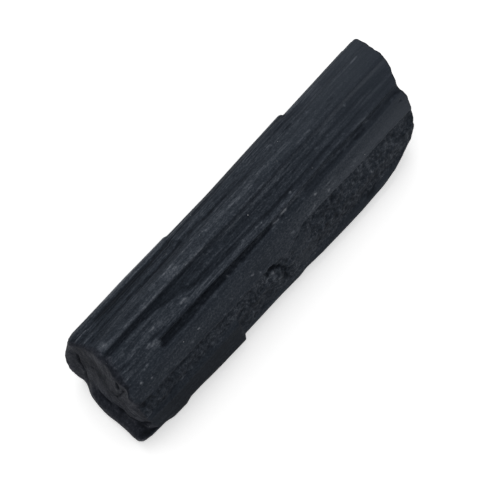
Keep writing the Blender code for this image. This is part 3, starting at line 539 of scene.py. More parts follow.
SHORT_MARK = 3.0
MARK_RISE = 0.05
MARK_FADE = 6
LINE_WANDER = 0.07
LONG_WAVE = 0.37
SHORT_WAVE = 0.9

# Grains of the rough flank: (size, height), coarse to fine
GRAINS = ((1.5, 0.3), (0.7, 0.2))
GRAIN_SQUASH = 0.55
GRAIN_SLANT = 0.5
HUMP_PLACE = 4.2
HUMP_HALF_WIDTH = 1.9
HUMP_SHARE = 0.75

GRAIN_SEED = Vector((8.3, 1.4, 6.2))
CELL_MIDDLE = 0.45

# Heights that count as a full step of tone, and the darkest and palest tone. Tone follows height, so raised
# striae, grains and lumps are painted paler and their hollows darker: painted light and shade
STRIAE_TONE = 0.25
GRAIN_TONE = 0.4
BREAK_TONE = 0.3
TONE_LIMITS = (-1.6, 2.5)

# Cracks of the left end, as the y and z of their corners, with depth and width. A crack is painted darker the
# deeper it is, and a raised one (negative depth) paler: painted shade and light
END_CRACKS = (
    (((6.8, 9.8), (6.4, 7.6), (5.8, 6.8), (4.9, 5.8), (4.9, 3.0)), 0.4, 0.33),
    (((0.9, 3.9), (-1.2, 4.0), (-2.6, 4.4), (-3.8, 4.3), (-5.4, 5.0), (-6.6, 4.9)), 0.5, 0.3),
    (((-6.6, 4.9), (-7.9, 5.0), (-9.2, 6.6)), 0.6, 0.5),
    (((-7.6, 4.2), (-8.6, 4.2)), 0.35, 0.6),
    (((-9.2, 3.4), (-9.9, 3.4)), 0.4, 0.8),
    (((-1.2, 3.7), (-1.1, 2.2)), 0.35, 0.25),
    (((-2.7, 8.3), (-3.4, 10.6), (-3.7, 12.2)), 0.25, 0.25),
    (((-2.2, 13.4), (-2.6, 12.2)), 0.35, 0.45),
    (((3.8, 9.2), (3.3, 9.6)), 0.2, 0.3),
    (((-2.8, 6.2), (-3.1, 8.0), (-3.9, 11.0)), -0.1, 0.3),
    (((-3.6, 6.0), (-5.6, 9.4)), -0.08, 0.3),
    (((-4.4, 5.4), (-6.6, 9.0)), -0.08, 0.3),
    (((-4.0, 7.4), (-5.4, 10.2)), 0.1, 0.25),
    (((-8.8, 1.4), (-8.9, 2.6)), -0.15, 0.4),
    (((-3.0, 15.0), (-3.3, 14.8)), -0.3, 0.3),
)
# Painted shade in the cracks, per millimetre of depth
CRACK_SHADE = -3.5

# Painted shade on the rims, where the broken surface turns up, and painted light on the level part behind
# them
RIM_PAINTED_SHADE = -0.55
RIM_SLOPES = (0.2, 0.6)
LEVEL_PAINTED_LIGHT = 0.3
LEVEL_SLOPES = (0.93, 0.99)

# Patches of painted shade and painted light on the left end, as (y, z, reach, tone), and the lumps and chips
# of both: (size, height)
END_SHADE_AND_LIGHT = (
    (-1.0, 8.3, 1.9, -0.9), (2.5, 8.5, 2.6, -0.25), (4.5, 9.6, 2.4, -0.6), (4.5, 13.0, 2.0, -0.2),
    (-2.0, 12.0, 2.0, -0.35), (4.0, 1.0, 1.6, 0.3), (-0.5, 3.0, 2.0, 0.3), (-6.6, 3.4, 1.8, 0.4),
    (-3.0, 3.6, 1.4, 0.35), (-7.2, 9.2, 2.4, -0.4),
)
END_STRETCH = 2.2
END_LUMPS = ((2.6, 0.2), (1.2, 0.1))
END_CHIPS = ((1.0, 0.12), (0.5, 0.08))

# How far the broken surface of the ends reaches over the skin, across y, and how it wanders
LEFT_BREAK_REACH = (
    (-11, 0.5), (-6, 0.5), (-4.4, 0.9), (-3.2, 1.6), (-1.2, 2.4), (0, 2.2), (1.2, 1.9), (3, 1.6), (5, 1.4),
    (8, 0.6),
)
RIGHT_BREAK_REACH = 0.8
BREAK_WANDER = 0.5
BREAK_WANDER_SIZE = 1.3

# How many times the rims are eased, and again the rims above the foot
RIM_SHARE = 0.3
RIM_ROUNDS = 7
UPPER_RIM_ROUNDS = 18
UPPER_RIM_FOOT = 7.0

# Colours of the skin and of the broken ends, from black to pale; the tone that picks them holds painted shade
# and light as well as the stone's own colour
SKIN_COLOURS = (
    (0.0024, 0.0035, 0.0061), (0.0064, 0.0089, 0.0139), (0.0180, 0.0228, 0.0313), (0.0520, 0.0595, 0.0728),
    (0.1540, 0.1625, 0.1800),
)
BREAK_COLOURS = (
    (0.0025, 0.0030, 0.0051), (0.0062, 0.0072, 0.0115), (0.0173, 0.0189, 0.0262), (0.0480, 0.0496, 0.0615),
    (0.1520, 0.1540, 0.1730),
)
SPECK = (0.4500, 0.4600, 0.4700)
SPECULAR_TINT = (0.80, 0.90, 1.00)
SPECULAR_LEVEL = 0.12
TONE_STEP = 0.3
REFRACTIVE_INDEX = 1.64
ROUGHNESS = (0.75, 0.55)
GRIT_SHARE = (0.8, 0.45)
BUMP_STRENGTH = 0.7
BUMP_HEIGHT = 0.00015
FLECKS = {"Spacing": 0.8, "Share": 0.05, "Radius": 0.11}

# Noise of the skin and of the grit: stretch and strength
SKIN_NOISE = (((12.0, 0.5, 0.5), 1.0), ((1.6, 0.16, 0.16), 0.9))
DUST_NOISE = (((0.35, 0.25, 0.25), 0.75),)
GRIT_NOISE = (((0.8, 0.7, 0.7), 1.3), ((0.28, 0.28, 0.28), 0.8))

# The studio. The view's angles are in degrees. The camera's distance and aim are in millimetres and
# the lamp's and the floor's sizes in metres
VIEW_TURN = -49.95
VIEW_ELEVATION = 70.0
VIEW_DISTANCE = 306.0
LENS = 135.0
SENSOR_WIDTH = 36.0
NEAREST_SEEN = 0.01
AIM_RIGHT = -1.765
AIM_UP = -1.335
KEY_DIRECTION = (0.35, 0.75, 0.9)
KEY_DISTANCE = 0.9
KEY_SIZE = 1.0
KEY_POWER = 3.4
ROOM_LIGHT = 0.6
ROOM_SEEN = 1.1
FLOOR_SIZE = 1.5
FLOOR_COLOUR = (0.95, 0.95, 0.95)
FLOOR_ROUGHNESS = 0.9
FLOOR_GLOW = 0.42


def blend(value, start, end):
    """Rise smoothly from 0 at start to 1 at end."""
    part = np.clip((value - start) / (end - start), 0.0, 1.0)
    return part * part * (3.0 - 2.0 * part)


def along(where, points):
    """Read a value that wanders, from a few (place, value) points."""
    places, values = zip(*points)
    return np.interp(where, places, values)


def between(value, knots):
    """Read straight lines drawn through knots, whose places and heights differ from point to point."""
    result = knots[0][1]
    for (start, low), (end, high) in zip(knots, knots[1:]):
        part = np.clip((value - start) / (end - start), 0.0, 1.0)
        result = np.where(value >= start, low + (high - low) * part, result)
    return result


def lumps(places, size, seed):
    """Give smooth noise between about -1 and 1 at each place."""
    return np.array([noise.noise(Vector(place) / size + seed) for place in places])


def radius(angle, x):
    """Distance from the axis to the prism faces, with their edges slightly rounded."""
    total = 0.0
    for name, (face_angle, distance) in PRISM_FACES.items():
        reach = distance + along(x, SWELLS.get(name, ((0, 0.0),)))
        facing = np.maximum(np.cos(angle - np.radians(face_angle)), 0.0)
        total = total + (facing / reach) ** CORNER_SHARPNESS
    return total ** (-1.0 / CORNER_SHARPNESS)


def section_walk():
    """Walk once round the middle section, and give the angle and the girth at each stride."""
    angle = np.radians(np.arange(0.0, 360.25, 0.25))
    reach = radius(angle, 0.0)
    across = reach * np.cos(angle)
    height = np.maximum(AXIS_HEIGHT + reach * np.sin(angle), 0.0)
    strides = np.hypot(np.diff(across), np.diff(height))
    girth = np.concatenate(([0.0], np.cumsum(strides)))
    return angle, girth - np.interp(np.radians(CREST_ANGLE), angle, girth)


def edges_at(x):
    """Girth at x of the edges that wander, from the crest to the end of the band."""
    return [along(x, edge) for edge in (HIGH_EDGE, VALLEY_END, LOW_EDGE, GROOVE_END, BAND_END)]


def profile_knots(x):
    """The skin's relief across the girth: (girth, height) at each knot, back to front and under."""
    level = np.zeros_like(x)
    high_edge, valley_end, low_edge, groove_end, band_end = edges_at(x)
    high_rib = along(x, HIGH_RIB)
    valley = along(x, VALLEY)
    low_rib = along(x, LOW_RIB)
    groove = along(x, GROOVE)
    strip = along(x, EDGE_STRIP)
    chipped = along(x, CHIPPED_BAND)
    rough = along(x, ROUGH_DEPTH)
    plate = along(x, SIDE_PLATE)
    foot = along(x, FOOT)
    broken = along(x, LOWER_BREAK)
    furrow = along(x, BACK_FURROW)
    return (
        (level + LAYER_LINE, along(x, BACK_LAYER)),
        (level + STRIP_OUTER, strip),
        (level + STRIP_INNER, strip),
        (level + SEAM, along(x, SEAM_DEPTH)),
        (level + CHIPPED_TOP, along(x + CHIPPED_SLANT, CHIPPED_BAND)),
        (level + CHIPPED_FOOT, chipped * 0.7),
        (level + RIB_FOOT, level),
        (level + RIB_SHOULDER, high_rib),
        (high_edge, high_rib * 0.9),
        (high_edge + WALL_WIDTH, valley),
        (valley_end, valley * 0.9),
        (valley_end + VALLEY_RISE_WIDTH, valley * 0.4),
        (low_edge - RIB_TOP_WIDTH, low_rib),
        (low_edge, low_rib * 0.9),
        (low_edge + GROOVE_WALL_WIDTH, groove),
        (groove_end, along(x + GROOVE_SLANT, GROOVE) * 0.85),
        (groove_end + GROOVE_WALL_WIDTH, level),
        (level + BAND_MIDDLE, level + BAND_CROWN),
        (band_end, level),
        (band_end + WALL_WIDTH, rough),
        (level + PLATE_FURROW, rough),
        (level + PLATE_EDGE, plate * 0.6),
        (level + PLATE_FOOT, plate),
        (level + FOOT_TOP, foot),
        (level + FOOT_BOTTOM, foot),
        (level + BASE_FRONT, level),
        (level + BASE_BACK, level),
        (level + BREAK_MIDDLE, broken),
        (level + BREAK_EDGE, broken * 0.8),
        (level + RIDGE, along(x, BACK_RIDGE)),
        (level + FURROW_START, furrow),
        (level + FURROW_END, furrow * 0.7),
        (level + BACK_LEVEL, level),
    )


def tone_knots(x):
    """The skin's tone across the girth: (girth, tone) at each knot, back to front and under."""
    level = np.zeros_like(x)
    high_edge, valley_end, low_edge, groove_end, band_end = edges_at(x)
    strip = along(x, STRIP_TONE)
    seam = along(x, SEAM_TONE)
    chipped = along(x, CHIPPED_TONE)
    rib = along(x, RIB_TONE)
    edge = along(x, EDGE_TONE)
    valley = along(x, VALLEY_TONE)
    valley_foot = valley - along(x, VALLEY_FOOT_SHADE)
    middle = along(x, MIDDLE_TONE)
    low_rib = along(x, LOW_RIB_TONE)
    groove = along(x, GROOVE_TONE)
    band = along(x, BAND_TONE)
    flank = along(x, FLANK_TONE)
    plate = along(x, PLATE_TONE)
    plate_lip = PLATE_LIP_TONE * (1.0 - blend(x, *PLATE_LIP_FADE))
    past_plate = blend(x, *PAST_PLATE)
    return (
        (level + LAYER_LINE, level - 0.2),
        (level + STRIP_OUTER, strip),
        (level + STRIP_INNER + 0.25, strip),
        (level + SEAM - 0.1, seam),
        (level + CHIPPED_TOP + 0.25, seam),
        (level + CHIPPED_TOP + 0.5, chipped),
        (level + CHIPPED_FOOT, chipped),
        (level + RIB_FOOT, chipped / 2.0 - 0.1),
        (level + RIB_SHOULDER - 0.5, along(x, RIB_BACK_TONE)),
        (level + RIB_SHOULDER, rib),
        (high_edge - 0.5, rib),
        (high_edge, edge),
        (high_edge + WALL_WIDTH / 2.0, valley),
        (high_edge + WALL_WIDTH, valley),
        (np.minimum(high_edge + VALLEY_TOP_WIDTH, valley_end - 0.05), valley_foot),
        (valley_end, valley_foot),
        (valley_end + VALLEY_RISE_WIDTH, middle),
        (low_edge - 1.0, middle),
        (low_edge - RIB_TOP_WIDTH, low_rib),
        (low_edge, low_rib),
        (low_edge + GROOVE_WALL_WIDTH, groove),
        (groove_end, groove - GROOVE_FOOT_SHADE * blend(x, *GROOVE_FOOT_START)),
        (groove_end + GROOVE_WALL_WIDTH, along(x, BAND_TOP_TONE)),
        (level + BAND_MIDDLE - 1.0, band / 2.0),
        (level + BAND_MIDDLE, band / 2.0),
        (band_end - 1.0, band),
        (band_end, band),
        (band_end + WALL_WIDTH, flank),
        (level + PLATE_FURROW, flank + plate_lip),
        (level + PLATE_EDGE, plate / 2.0 + plate_lip),
        (level + PLATE_EDGE + 0.5, plate),
        (level + PLATE_FOOT, plate),
        (level + FOOT_TOP, plate + 0.3 * past_plate),
        (level + FOOT_BOTTOM, past_plate * 0.5),
        (level + BASE_FRONT, level - 0.2),
        (level + BASE_BACK, level - 0.2),
        (level + BREAK_EDGE, level),
        # Paler on the back ridge and darker in the back furrow: painted light and shade
        (level + RIDGE, level + 0.4),
        (level + FURROW_START, level - 0.6),
        (level + FURROW_END, level - 0.6),
        (level + BACK_LEVEL, level),
    )


def column_girth(column, x, turn):
    """Girth of each column at x. Columns run along the sharp edges, so these stay sharp."""
    level = np.zeros_like(x)
    high_edge, _, low_edge, groove_end, band_end = edges_at(x)
    return between(column, (
        (0, level + SEAM),
        (3, level + CHIPPED_TOP),
        (24, level + CHIPPED_FOOT),
        (28, level + RIB_FOOT),
        (40, level + RIB_SHOULDER),
        (54, high_edge),
        (57, high_edge + WALL_WIDTH),
        (85, low_edge - RIB_TOP_WIDTH),
        (88, low_edge),
        (91, low_edge + GROOVE_WALL_WIDTH),
        (100, groove_end),
        (103, groove_end + GROOVE_WALL_WIDTH),
        (134, band_end),
        (138, band_end + WALL_WIDTH),
        (152, level + FRONT_CORNER),
        (157, level + PLATE_FURROW),
        (161, level + PLATE_EDGE),
        (184, level + PLATE_FOOT),
        (191, level + FOOT_TOP),
        (197, level + FOOT_BOTTOM),
        (202, level + BASE_FRONT),
        (216, level + BASE_BACK),
        (226, level + BREAK_EDGE),
        (229, level + RIDGE),
        (233, level + FURROW_START),
        (238, level + FURROW_END),
        (243, level + BACK_LEVEL),
        (254, level + LAYER_LINE + turn),
        (272, level + STRIP_OUTER + turn),
        (281, level + STRIP_INNER + turn),
        (284, level + SEAM + turn),
    ))


def rough_zone(x, girth):
    """1 on the granular part of the flank and 0 off it."""
    start = along(x, BAND_END)
    end = along(x, ROUGH_END)
    return blend(girth, start, start + ROUGH_FADE) * (1.0 - blend(girth, end - ROUGH_FADE, end))


def smooth_patch(x):
    """1 on the smooth hump that interrupts the rough flank and 0 off it."""
    return np.exp(-(((x - HUMP_PLACE) / HUMP_HALF_WIDTH) ** 4))


def pit_depth(x, girth):
    """Depth of the hooked pit."""
    depth = np.zeros_like(x)
    for pit_x, pit_girth, deep, pit_radius in PIT:
        distance = np.hypot(x - pit_x, girth - pit_girth)
        depth = np.maximum(depth, deep * (1.0 - blend(distance, 0.0, pit_radius)))
    return depth


def left_end(y, z):
    """Where the left end breaks off, with a ledge that juts out at the foot."""
    upper = along(y, LEFT_TOP_RIM) - along(y, LEFT_LEAN) * np.maximum(LEFT_LEAN_TOP - z, 0.0)
    ledge = np.minimum(along(y, LEFT_LEDGE), upper)
    above = blend(z, LEFT_LEDGE_TOP - LEFT_LEDGE_RISE, LEFT_LEDGE_TOP)
    return ledge + (upper - ledge) * above


def right_end(y, z):
    """Where the right end breaks off, set back below half height and chipped at the lower front."""
    below = 1.0 - blend(z, RIGHT_STEP_TOP - RIGHT_STEP_RISE, RIGHT_STEP_TOP)
    chip = np.maximum((-y - CHIP_START) + CHIP_LEAN * (CHIP_HEIGHT - z), 0.0)
    return along(y, RIGHT_RIM) - RIGHT_STEP_DEPTH * below - (chip / CHIP_REACH) ** CHIP_POWER


def grid_mesh():
    """A cube cut into a grid, whose faces become the skin and the two broken ends."""
    mesh = bmesh.new()
    bmesh.ops.create_cube(mesh, size=2.0)
    for axis, pieces in enumerate((RINGS, TOP_COLUMNS, SIDE_COLUMNS)):
        edges = []
        for edge in mesh.edges:
            direction = edge.verts[1].co - edge.verts[0].co
            if abs(direction[axis]) > 1e-6:
                edges.append(edge)
        bmesh.ops.subdivide_edges(mesh, edges=edges, cuts=pieces - 1, use_grid_fill=True)
    return mesh


def column_number(across, up):
    """Count columns round the edge of the grid's square section, from the top's back corner."""
    edge = 1.0 - 1e-6
    top = TOP_COLUMNS * (1.0 - across) / 2.0
    front = TOP_COLUMNS + SIDE_COLUMNS * (1.0 - up) / 2.0
    base = TOP_COLUMNS + SIDE_COLUMNS + TOP_COLUMNS * (1.0 + across) / 2.0
    back = 2 * TOP_COLUMNS + SIDE_COLUMNS + SIDE_COLUMNS * (1.0 + up) / 2.0
    return np.select([up >= edge, across <= -edge, up <= -edge], [top, front, base], back)


def skin_point(x, column, walk_angle, walk_girth):
    """Place of a column of the skin at x, as its y and z, and its girth."""
    turn = walk_girth[-1] - walk_girth[0]
    girth = column_girth(column, x, turn)
    girth = np.where(girth > walk_girth[-1], girth - turn, girth)
    angle = np.interp(girth, walk_girth, walk_angle)
    plain = radius(angle, x)
    places = np.stack([x, plain * np.cos(angle), plain * np.sin(angle)], axis=1)
    height = between(girth, profile_knots(x)) - pit_depth(x, girth)
    height = height + rough_zone(x, girth) * LUMP_HEIGHT * lumps(places, LUMP_SIZE, LUMP_SEED)
    reach = plain + height
    y = reach * np.cos(angle)
    z = np.maximum(AXIS_HEIGHT + reach * np.sin(angle), 0.0)
    return y, z, girth


def shape_grid(mesh):
    """Push each corner of the grid onto the crystal, and give its x, girth and share of the end."""
    walk_angle, walk_girth = section_walk()
    grid = np.array([vert.co[:] for vert in mesh.verts])
    ring = np.maximum(np.abs(grid[:, 1]), np.abs(grid[:, 2]))
    inner = ring < 1.0 - 1e-6
    divisor = np.where(ring > 0.0, ring, 1.0)
    column = column_number(grid[:, 1] / divisor, grid[:, 2] / divisor)

    plain_x = grid[:, 0] * HALF_LENGTH
    left = 1.0 - blend(plain_x, -HALF_LENGTH, LEFT_REACH - HALF_LENGTH)
    right = blend(plain_x, HALF_LENGTH - RIGHT_REACH, HALF_LENGTH)
    x = plain_x
    for _ in range(SETTLING_ROUNDS):
        y, z, girth = skin_point(x, column, walk_angle, walk_girth)
        x = plain_x + left * (left_end(y, z) + HALF_LENGTH) + right * (right_end(y, z) - HALF_LENGTH)

    y = y * ring
    z = AXIS_HEIGHT + (z - AXIS_HEIGHT) * ring
    ends = np.where(grid[:, 0] < 0.0, left_end(y, z), right_end(y, z))
    places = np.stack([ends, y, z], axis=1)
    fade = blend(1.0 - ring, 0.0, END_LUMP_FADE)
    ends = ends + END_LUMP_HEIGHT * fade * lumps(places, END_LUMP_SIZE, END_SEED)
    x = np.where(inner, ends, x)
    for vert, place in zip(mesh.verts, np.stack([x, y, z], axis=1)):
        vert.co = Vector(place)
    ends_share = np.where(np.abs(grid[:, 0]) > 1.0 - 1e-6, blend(1.0 - ring, 0.0, 0.06), 0.0)
    return x, girth, np.maximum(ends_share, broken_share(x, y, z))


def broken_share(x, y, z):
    """1 where the skin is broken off beside an end, and 0 further in."""
    wander = BREAK_WANDER * lumps(np.stack([x, y, z], axis=1), BREAK_WANDER_SIZE, END_SEED)
    from_left = x - left_end(y, z) + wander
    from_right = right_end(y, z) - x + wander * 0.5
    reach = along(y, LEFT_BREAK_REACH)
    left = 1.0 - blend(from_left / reach, 0.3, 1.0)
    right = 1.0 - blend(from_right, 0.2, RIGHT_BREAK_REACH)
    return np.maximum(left, right)


def places_of(mesh):
    """Every corner's place, as an array."""
    return np.array([vert.co[:] for vert in mesh.verts])


def shift_to_box(places, box):
    """How far to slide places so that their box sits on the middle of the solid's box, base on base."""
    low, high = places.min(axis=0), places.max(axis=0)
    box_low, box_high = np.array(box[0]) / METRES, np.array(box[1]) / METRES
    shift = (box_low + box_high) / 2.0 - (low + high) / 2.0
    shift[2] = box_low[2] - low[2]
    return shift


def fit_to_box(mesh, box):
    """Slide the mesh onto the solid's box."""
    shift = shift_to_box(places_of(mesh), box)
    bmesh.ops.translate(mesh, verts=mesh.verts, vec=Vector(shift))


def seen_skin(mesh, x, girth):
    """The corners that face the camera: steps along and across, distance, x and girth of each."""
    place, right, up, back = camera_view()
    places = places_of(mesh)
    from_camera = places + shift_to_box(places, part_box(CRYSTAL)) - np.array(place) / METRES
    distance = -(from_camera @ np.array(back))
    focus = VIEW_STEPS * LENS / SENSOR_WIDTH
    to_right = focus * (from_camera @ np.array(right)) / distance - MARK_MIDDLE[0]
    to_top = focus * (from_camera @ np.array(up)) / distance - MARK_MIDDLE[1]
    turn = np.radians(MARK_TURN)
    steps_along = to_right * np.cos(turn) + to_top * np.sin(turn)
    steps_across = to_top * np.cos(turn) - to_right * np.sin(turn)
    mesh.normal_update()
    facing = np.array([vert.normal.dot(back) for vert in mesh.verts])
    return np.stack([steps_along, steps_across, distance, x, girth])[:, facing > LEAST_FACING]


def corner_seen(skin, steps_along, steps_across):
    """Number of the corner that the camera sees nearest to a place in its view."""
    apart = np.hypot(skin[0] - steps_along, skin[1] - steps_across)
    near = np.flatnonzero(apart < NEAR_STEPS)
    if len(near) == 0:
        near = np.array([apart.argmin()])
    distance = skin[2][near]
    near = near[distance < distance.min() + SEEN_DEPTH]
    return near[apart[near].argmin()]


def skin_place(skin, steps_along, steps_across):
    """The x and girth of the skin that the camera sees at a place in its view."""
    corner = skin[:, corner_seen(skin, steps_along, steps_across)]
    above = skin[:, corner_seen(skin, steps_along, steps_across + SLOPE_STEPS)]
    below = skin[:, corner_seen(skin, steps_along, steps_across - SLOPE_STEPS)]
    slope = PLAIN_SLOPE
    if abs(above[1] - below[1]) > LEAST_RISE:
        slope = (above[4] - below[4]) / (above[1] - below[1])
    if not SLOPE_LIMITS[0] < slope < SLOPE_LIMITS[1]:
        slope = PLAIN_SLOPE
    x = corner[3] + (steps_along - corner[0]) * STEP_LENGTH
    return x, corner[4] + (steps_across - corner[1]) * slope


def placed_mark(skin, mark, strength):
    """A mark in view steps as a mark in millimetres: start, end, half width and tone."""
    start_along, start_across, end_along, end_across, half_width, shade = mark
    longer_way = max(abs(end_along - start_along), abs(end_across - start_across))
    if longer_way < SPECK_STEPS:
        half_width = half_width * SPECK_WIDTH
        strength = max(strength, SPECK_STRENGTH)
    elif shade > PALE_TONE:
        shade = PALE_TONE + (shade - PALE_TONE) * PALE_SHARE
    start = skin_place(skin, start_along, start_across)
    end = skin_place(skin, end_along, end_across)
    return start, end, max(half_width * STEP_LENGTH, LEAST_HALF_WIDTH), shade * strength


def mark_pull(x, girth, start, end, half_width):
    """1 on a mark and 0 off it, fading towards the ends of a long one."""
    run_x, run_girth = end[0] - start[0], end[1] - start[1]
    length = max(np.hypot(run_x, run_girth), 1e-3)
    part = np.clip(((x - start[0]) * run_x + (girth - start[1]) * run_girth) / length ** 2, 0.0, 1.0)
    distance = np.hypot(x - start[0] - part * run_x, girth - start[1] - part * run_girth)
    fade = 1.0 if length < SHORT_MARK else 1.0 - np.abs(2.0 * part - 1.0) ** MARK_FADE
    return fade * np.exp(-((distance / half_width) ** 2))


def mark_tone(mesh, x, girth):
    """Tone of all the marks together."""
    skin = seen_skin(mesh, x, girth)
    groups = [[placed_mark(skin, mark, strength) for mark in marks] for marks, strength in MARK_GROUPS]
    tone = np.zeros_like(x)
    for marks in (*groups, SKIN_MARKS):
        for number, (start, end, half_width, shade) in enumerate(marks):
            wander = np.sin(SHORT_WAVE * x + number) * np.sin(LONG_WAVE * x + 2.0 * number)
            wandered = girth + LINE_WANDER * wander
            tone = tone + shade * mark_pull(x, wandered, start, end, half_width)
    return tone


def striated_share(x, girth):
    """How strongly the striae show."""
    return along(girth, STRIAE_SHARE) * along(x, SMOOTH_HEAD)


def striae(places, x, girth):
    """Height of the striae, and a value between about -1 and 1 for how pale they are."""
    height = np.zeros_like(x)
    for length, width, rise in STRIAE:
        stretched = places / np.array((length, width, width))
        height = height + rise * lumps(stretched, 1.0, STRIAE_SEED)
    return height * striated_share(x, girth) * (1.0 - rough_zone(x, girth))


def cells(places, size, seed):
    """Distance from the middle of the nearest cell, in cell sizes."""
    return np.array([noise.voronoi(Vector(place) / size + seed)[0][0] for place in places])


def grains(places, zone):
    """Height of the grains, where the zone is above 0."""
    height = np.zeros(len(zone))
    rough = zone > 0.0
    squashed = places[rough] / np.array((GRAIN_SQUASH, 1.0, 1.0))
    squashed[:, 0] += GRAIN_SLANT * places[rough, 2]
    for size, rise in GRAINS:
        height[rough] += rise * (CELL_MIDDLE - cells(squashed, size, GRAIN_SEED))
    return height * zone


def crack_depth(y, z):
    """Depth of the cracks of the left end."""
    depth = np.zeros_like(y)
    for corners, deep, width in END_CRACKS:
        for (y_start, z_start), (y_end, z_end) in zip(corners, corners[1:]):
            run = np.array((y_end - y_start, z_end - z_start))
            part = np.clip(((y - y_start) * run[0] + (z - z_start) * run[1]) / (run @ run), 0.0, 1.0)
            distance = np.hypot(y - y_start - part * run[0], z - z_start - part * run[1])
            here = deep * (1.0 - blend(distance, 0.0, width))
            depth = np.where(np.abs(here) > np.abs(depth), here, depth)
    return depth


def end_relief(places):
    """Height and tone of the lumps, chips and cracks of the broken ends."""
    height = np.zeros(len(places))
    stretched = places / np.array((1.0, 1.0, END_STRETCH))
    for size, rise in END_LUMPS:
        height = height + rise * lumps(stretched, size, END_SEED)
    for size, rise in END_CHIPS:
        height = height + rise * (CELL_MIDDLE - cells(stretched, size, END_SEED))
    left = places[:, 0] < 0.0
    crack = np.where(left, crack_depth(places[:, 1], places[:, 2]), 0.0)
    # Painted light and shade: lumps paler the higher they stand, cracks darker the deeper they go
    tone = height / BREAK_TONE + CRACK_SHADE * crack
    # Patches of painted shade and light on the left end
    for y, z, reach, shade in END_SHADE_AND_LIGHT:
        near = np.exp(-((places[:, 1] - y) ** 2 + (places[:, 2] - z) ** 2) / reach ** 2)
        tone = tone + np.where(left, shade * near, 0.0)
    return height - crack, tone


def push_out(mesh, heights):
    """Move every corner along its normal."""
    mesh.normal_update()
    for vert, height in zip(mesh.verts, heights):
        vert.co = vert.co + vert.normal * height


def add_fine_relief(mesh, x, girth, broken):
    """Add striae, lines, grains and cracks, and give how rough, broken and pale each corner is."""
    places = places_of(mesh)
    rough = rough_zone(x, girth) * (1.0 - HUMP_SHARE * smooth_patch(x))
    marked = mark_tone(mesh, x, girth)
    fine = striae(places, x, girth)
    granular = grains(places, rough)
    cracked, cracked_tone = end_relief(places)
    skin = MARK_RISE * marked + fine + granular
    push_out(mesh, skin * (1.0 - broken) + cracked * broken)
    # Tone follows the striae's and grains' height: painted light on what stands up, painted shade in the
    # hollows
    tone = between(girth, tone_knots(x)) + marked + fine / STRIAE_TONE + granular / GRAIN_TONE
    mesh.normal_update()
    # Painted shade on broken slopes that turn up towards a rim, and painted light on level broken tops
    facing_up = np.array([max(vert.normal.z, 0.0) for vert in mesh.verts])
    level_top = blend(facing_up, *LEVEL_SLOPES)
    rim_shade_and_light = RIM_PAINTED_SHADE * blend(facing_up, *RIM_SLOPES) * (1.0 - level_top) + LEVEL_PAINTED_LIGHT * level_top
    tone = tone * (1.0 - broken) + (cracked_tone + rim_shade_and_light) * broken
    return {
        "rough": rough * (1.0 - broken),
        "broken": broken,
        "streaked": striated_share(x, girth),
        "dusty": along(x, SMOOTH_HEAD),
        "tone": np.clip(tone, *TONE_LIMITS),
    }


def settle_on_base(mesh):
    """Rub off what would stand below the base."""
    for vert in mesh.verts:
        vert.co.z = max(vert.co.z, 0.0)


def new_group(name, inputs, outputs):
    """An empty node group with named sockets, and its two end nodes."""
    group = bpy.data.node_groups.new(name, "ShaderNodeTree")
    for title, kind in inputs:
        group.interface.new_socket(title, in_out="INPUT", socket_type=kind)
    for title, kind in outputs:
        group.interface.new_socket(title, in_out="OUTPUT", socket_type=kind)
    return group, group.nodes.new("NodeGroupInput"), group.nodes.new("NodeGroupOutput")


def math_node(tree, operation, first, second):
    """A Math node between two values, each a socket or a number."""
    node = tree.nodes.new("ShaderNodeMath")
    node.operation = operation
    for socket, value in zip(node.inputs, (first, second)):
        if isinstance(value, (int, float)):
            socket.default_value = value
        else:
            tree.links.new(value, socket)
    return node.outputs["Value"]


def map_range(tree, value, low, high, to_low, to_high):
    """A clamped Map Range node, whose new ends are sockets or numbers."""
    node = tree.nodes.new("ShaderNodeMapRange")
    tree.links.new(value, node.inputs["Value"])
    node.inputs["From Min"].default_value = low
    node.inputs["From Max"].default_value = high
    for socket, end in ((node.inputs["To Min"], to_low), (node.inputs["To Max"], to_high)):
        if isinstance(end, (int, float)):
            socket.default_value = end
        else:
            tree.links.new(end, socket)
    return node.outputs["Result"]


def ramp(tree, value, stops):
    """A Color Ramp node through evenly spaced colours."""
    node = tree.nodes.new("ShaderNodeValToRGB")
    tree.links.new(value, node.inputs["Fac"])
    elements = node.color_ramp.elements
    while len(elements) < len(stops):
        elements.new(0.5)
    for number, colour in enumerate(stops):
        elements[number].position = number / (len(stops) - 1)
        elements[number].color = (*colour, 1.0)
    return node.outputs["Color"]


def mix_colour(tree, share, first, second):
    """A Mix node from the first colour to the second, each a socket or a colour."""
    node = tree.nodes.new("ShaderNodeMix")
    node.data_type = "RGBA"
    tree.links.new(share, node.inputs["Factor"])
    sockets = [socket for socket in node.inputs if socket.type == "RGBA"]
    for socket, value in zip(sockets, (first, second)):
        if isinstance(value, tuple):
            socket.default_value = (*value, 1.0)
        else:
            tree.links.new(value, socket)
    return [socket for socket in node.outputs if socket.type == "RGBA"][0]


def streaks_group():
    """Noise drawn out along the crystal."""
    group, given, result = new_group(
        "lengthwise streaks",
        (("Place", "NodeSocketVector"), ("Stretch", "NodeSocketVector"), ("Detail", "NodeSocketFloat")),
        (("Value", "NodeSocketFloat"),),
    )
    divide = group.nodes.new("ShaderNodeVectorMath")
    divide.operation = "DIVIDE"
    pattern = group.nodes.new("ShaderNodeTexNoise")
    pattern.inputs["Scale"].default_value = 1.0
    pattern.inputs["Roughness"].default_value = 0.6
    group.links.new(given.outputs["Place"], divide.inputs[0])
    group.links.new(given.outputs["Stretch"], divide.inputs[1])
    group.links.new(divide.outputs["Vector"], pattern.inputs["Vector"])
    group.links.new(given.outputs["Detail"], pattern.inputs["Detail"])
    group.links.new(pattern.outputs["Fac"], result.inputs["Value"])
    return group


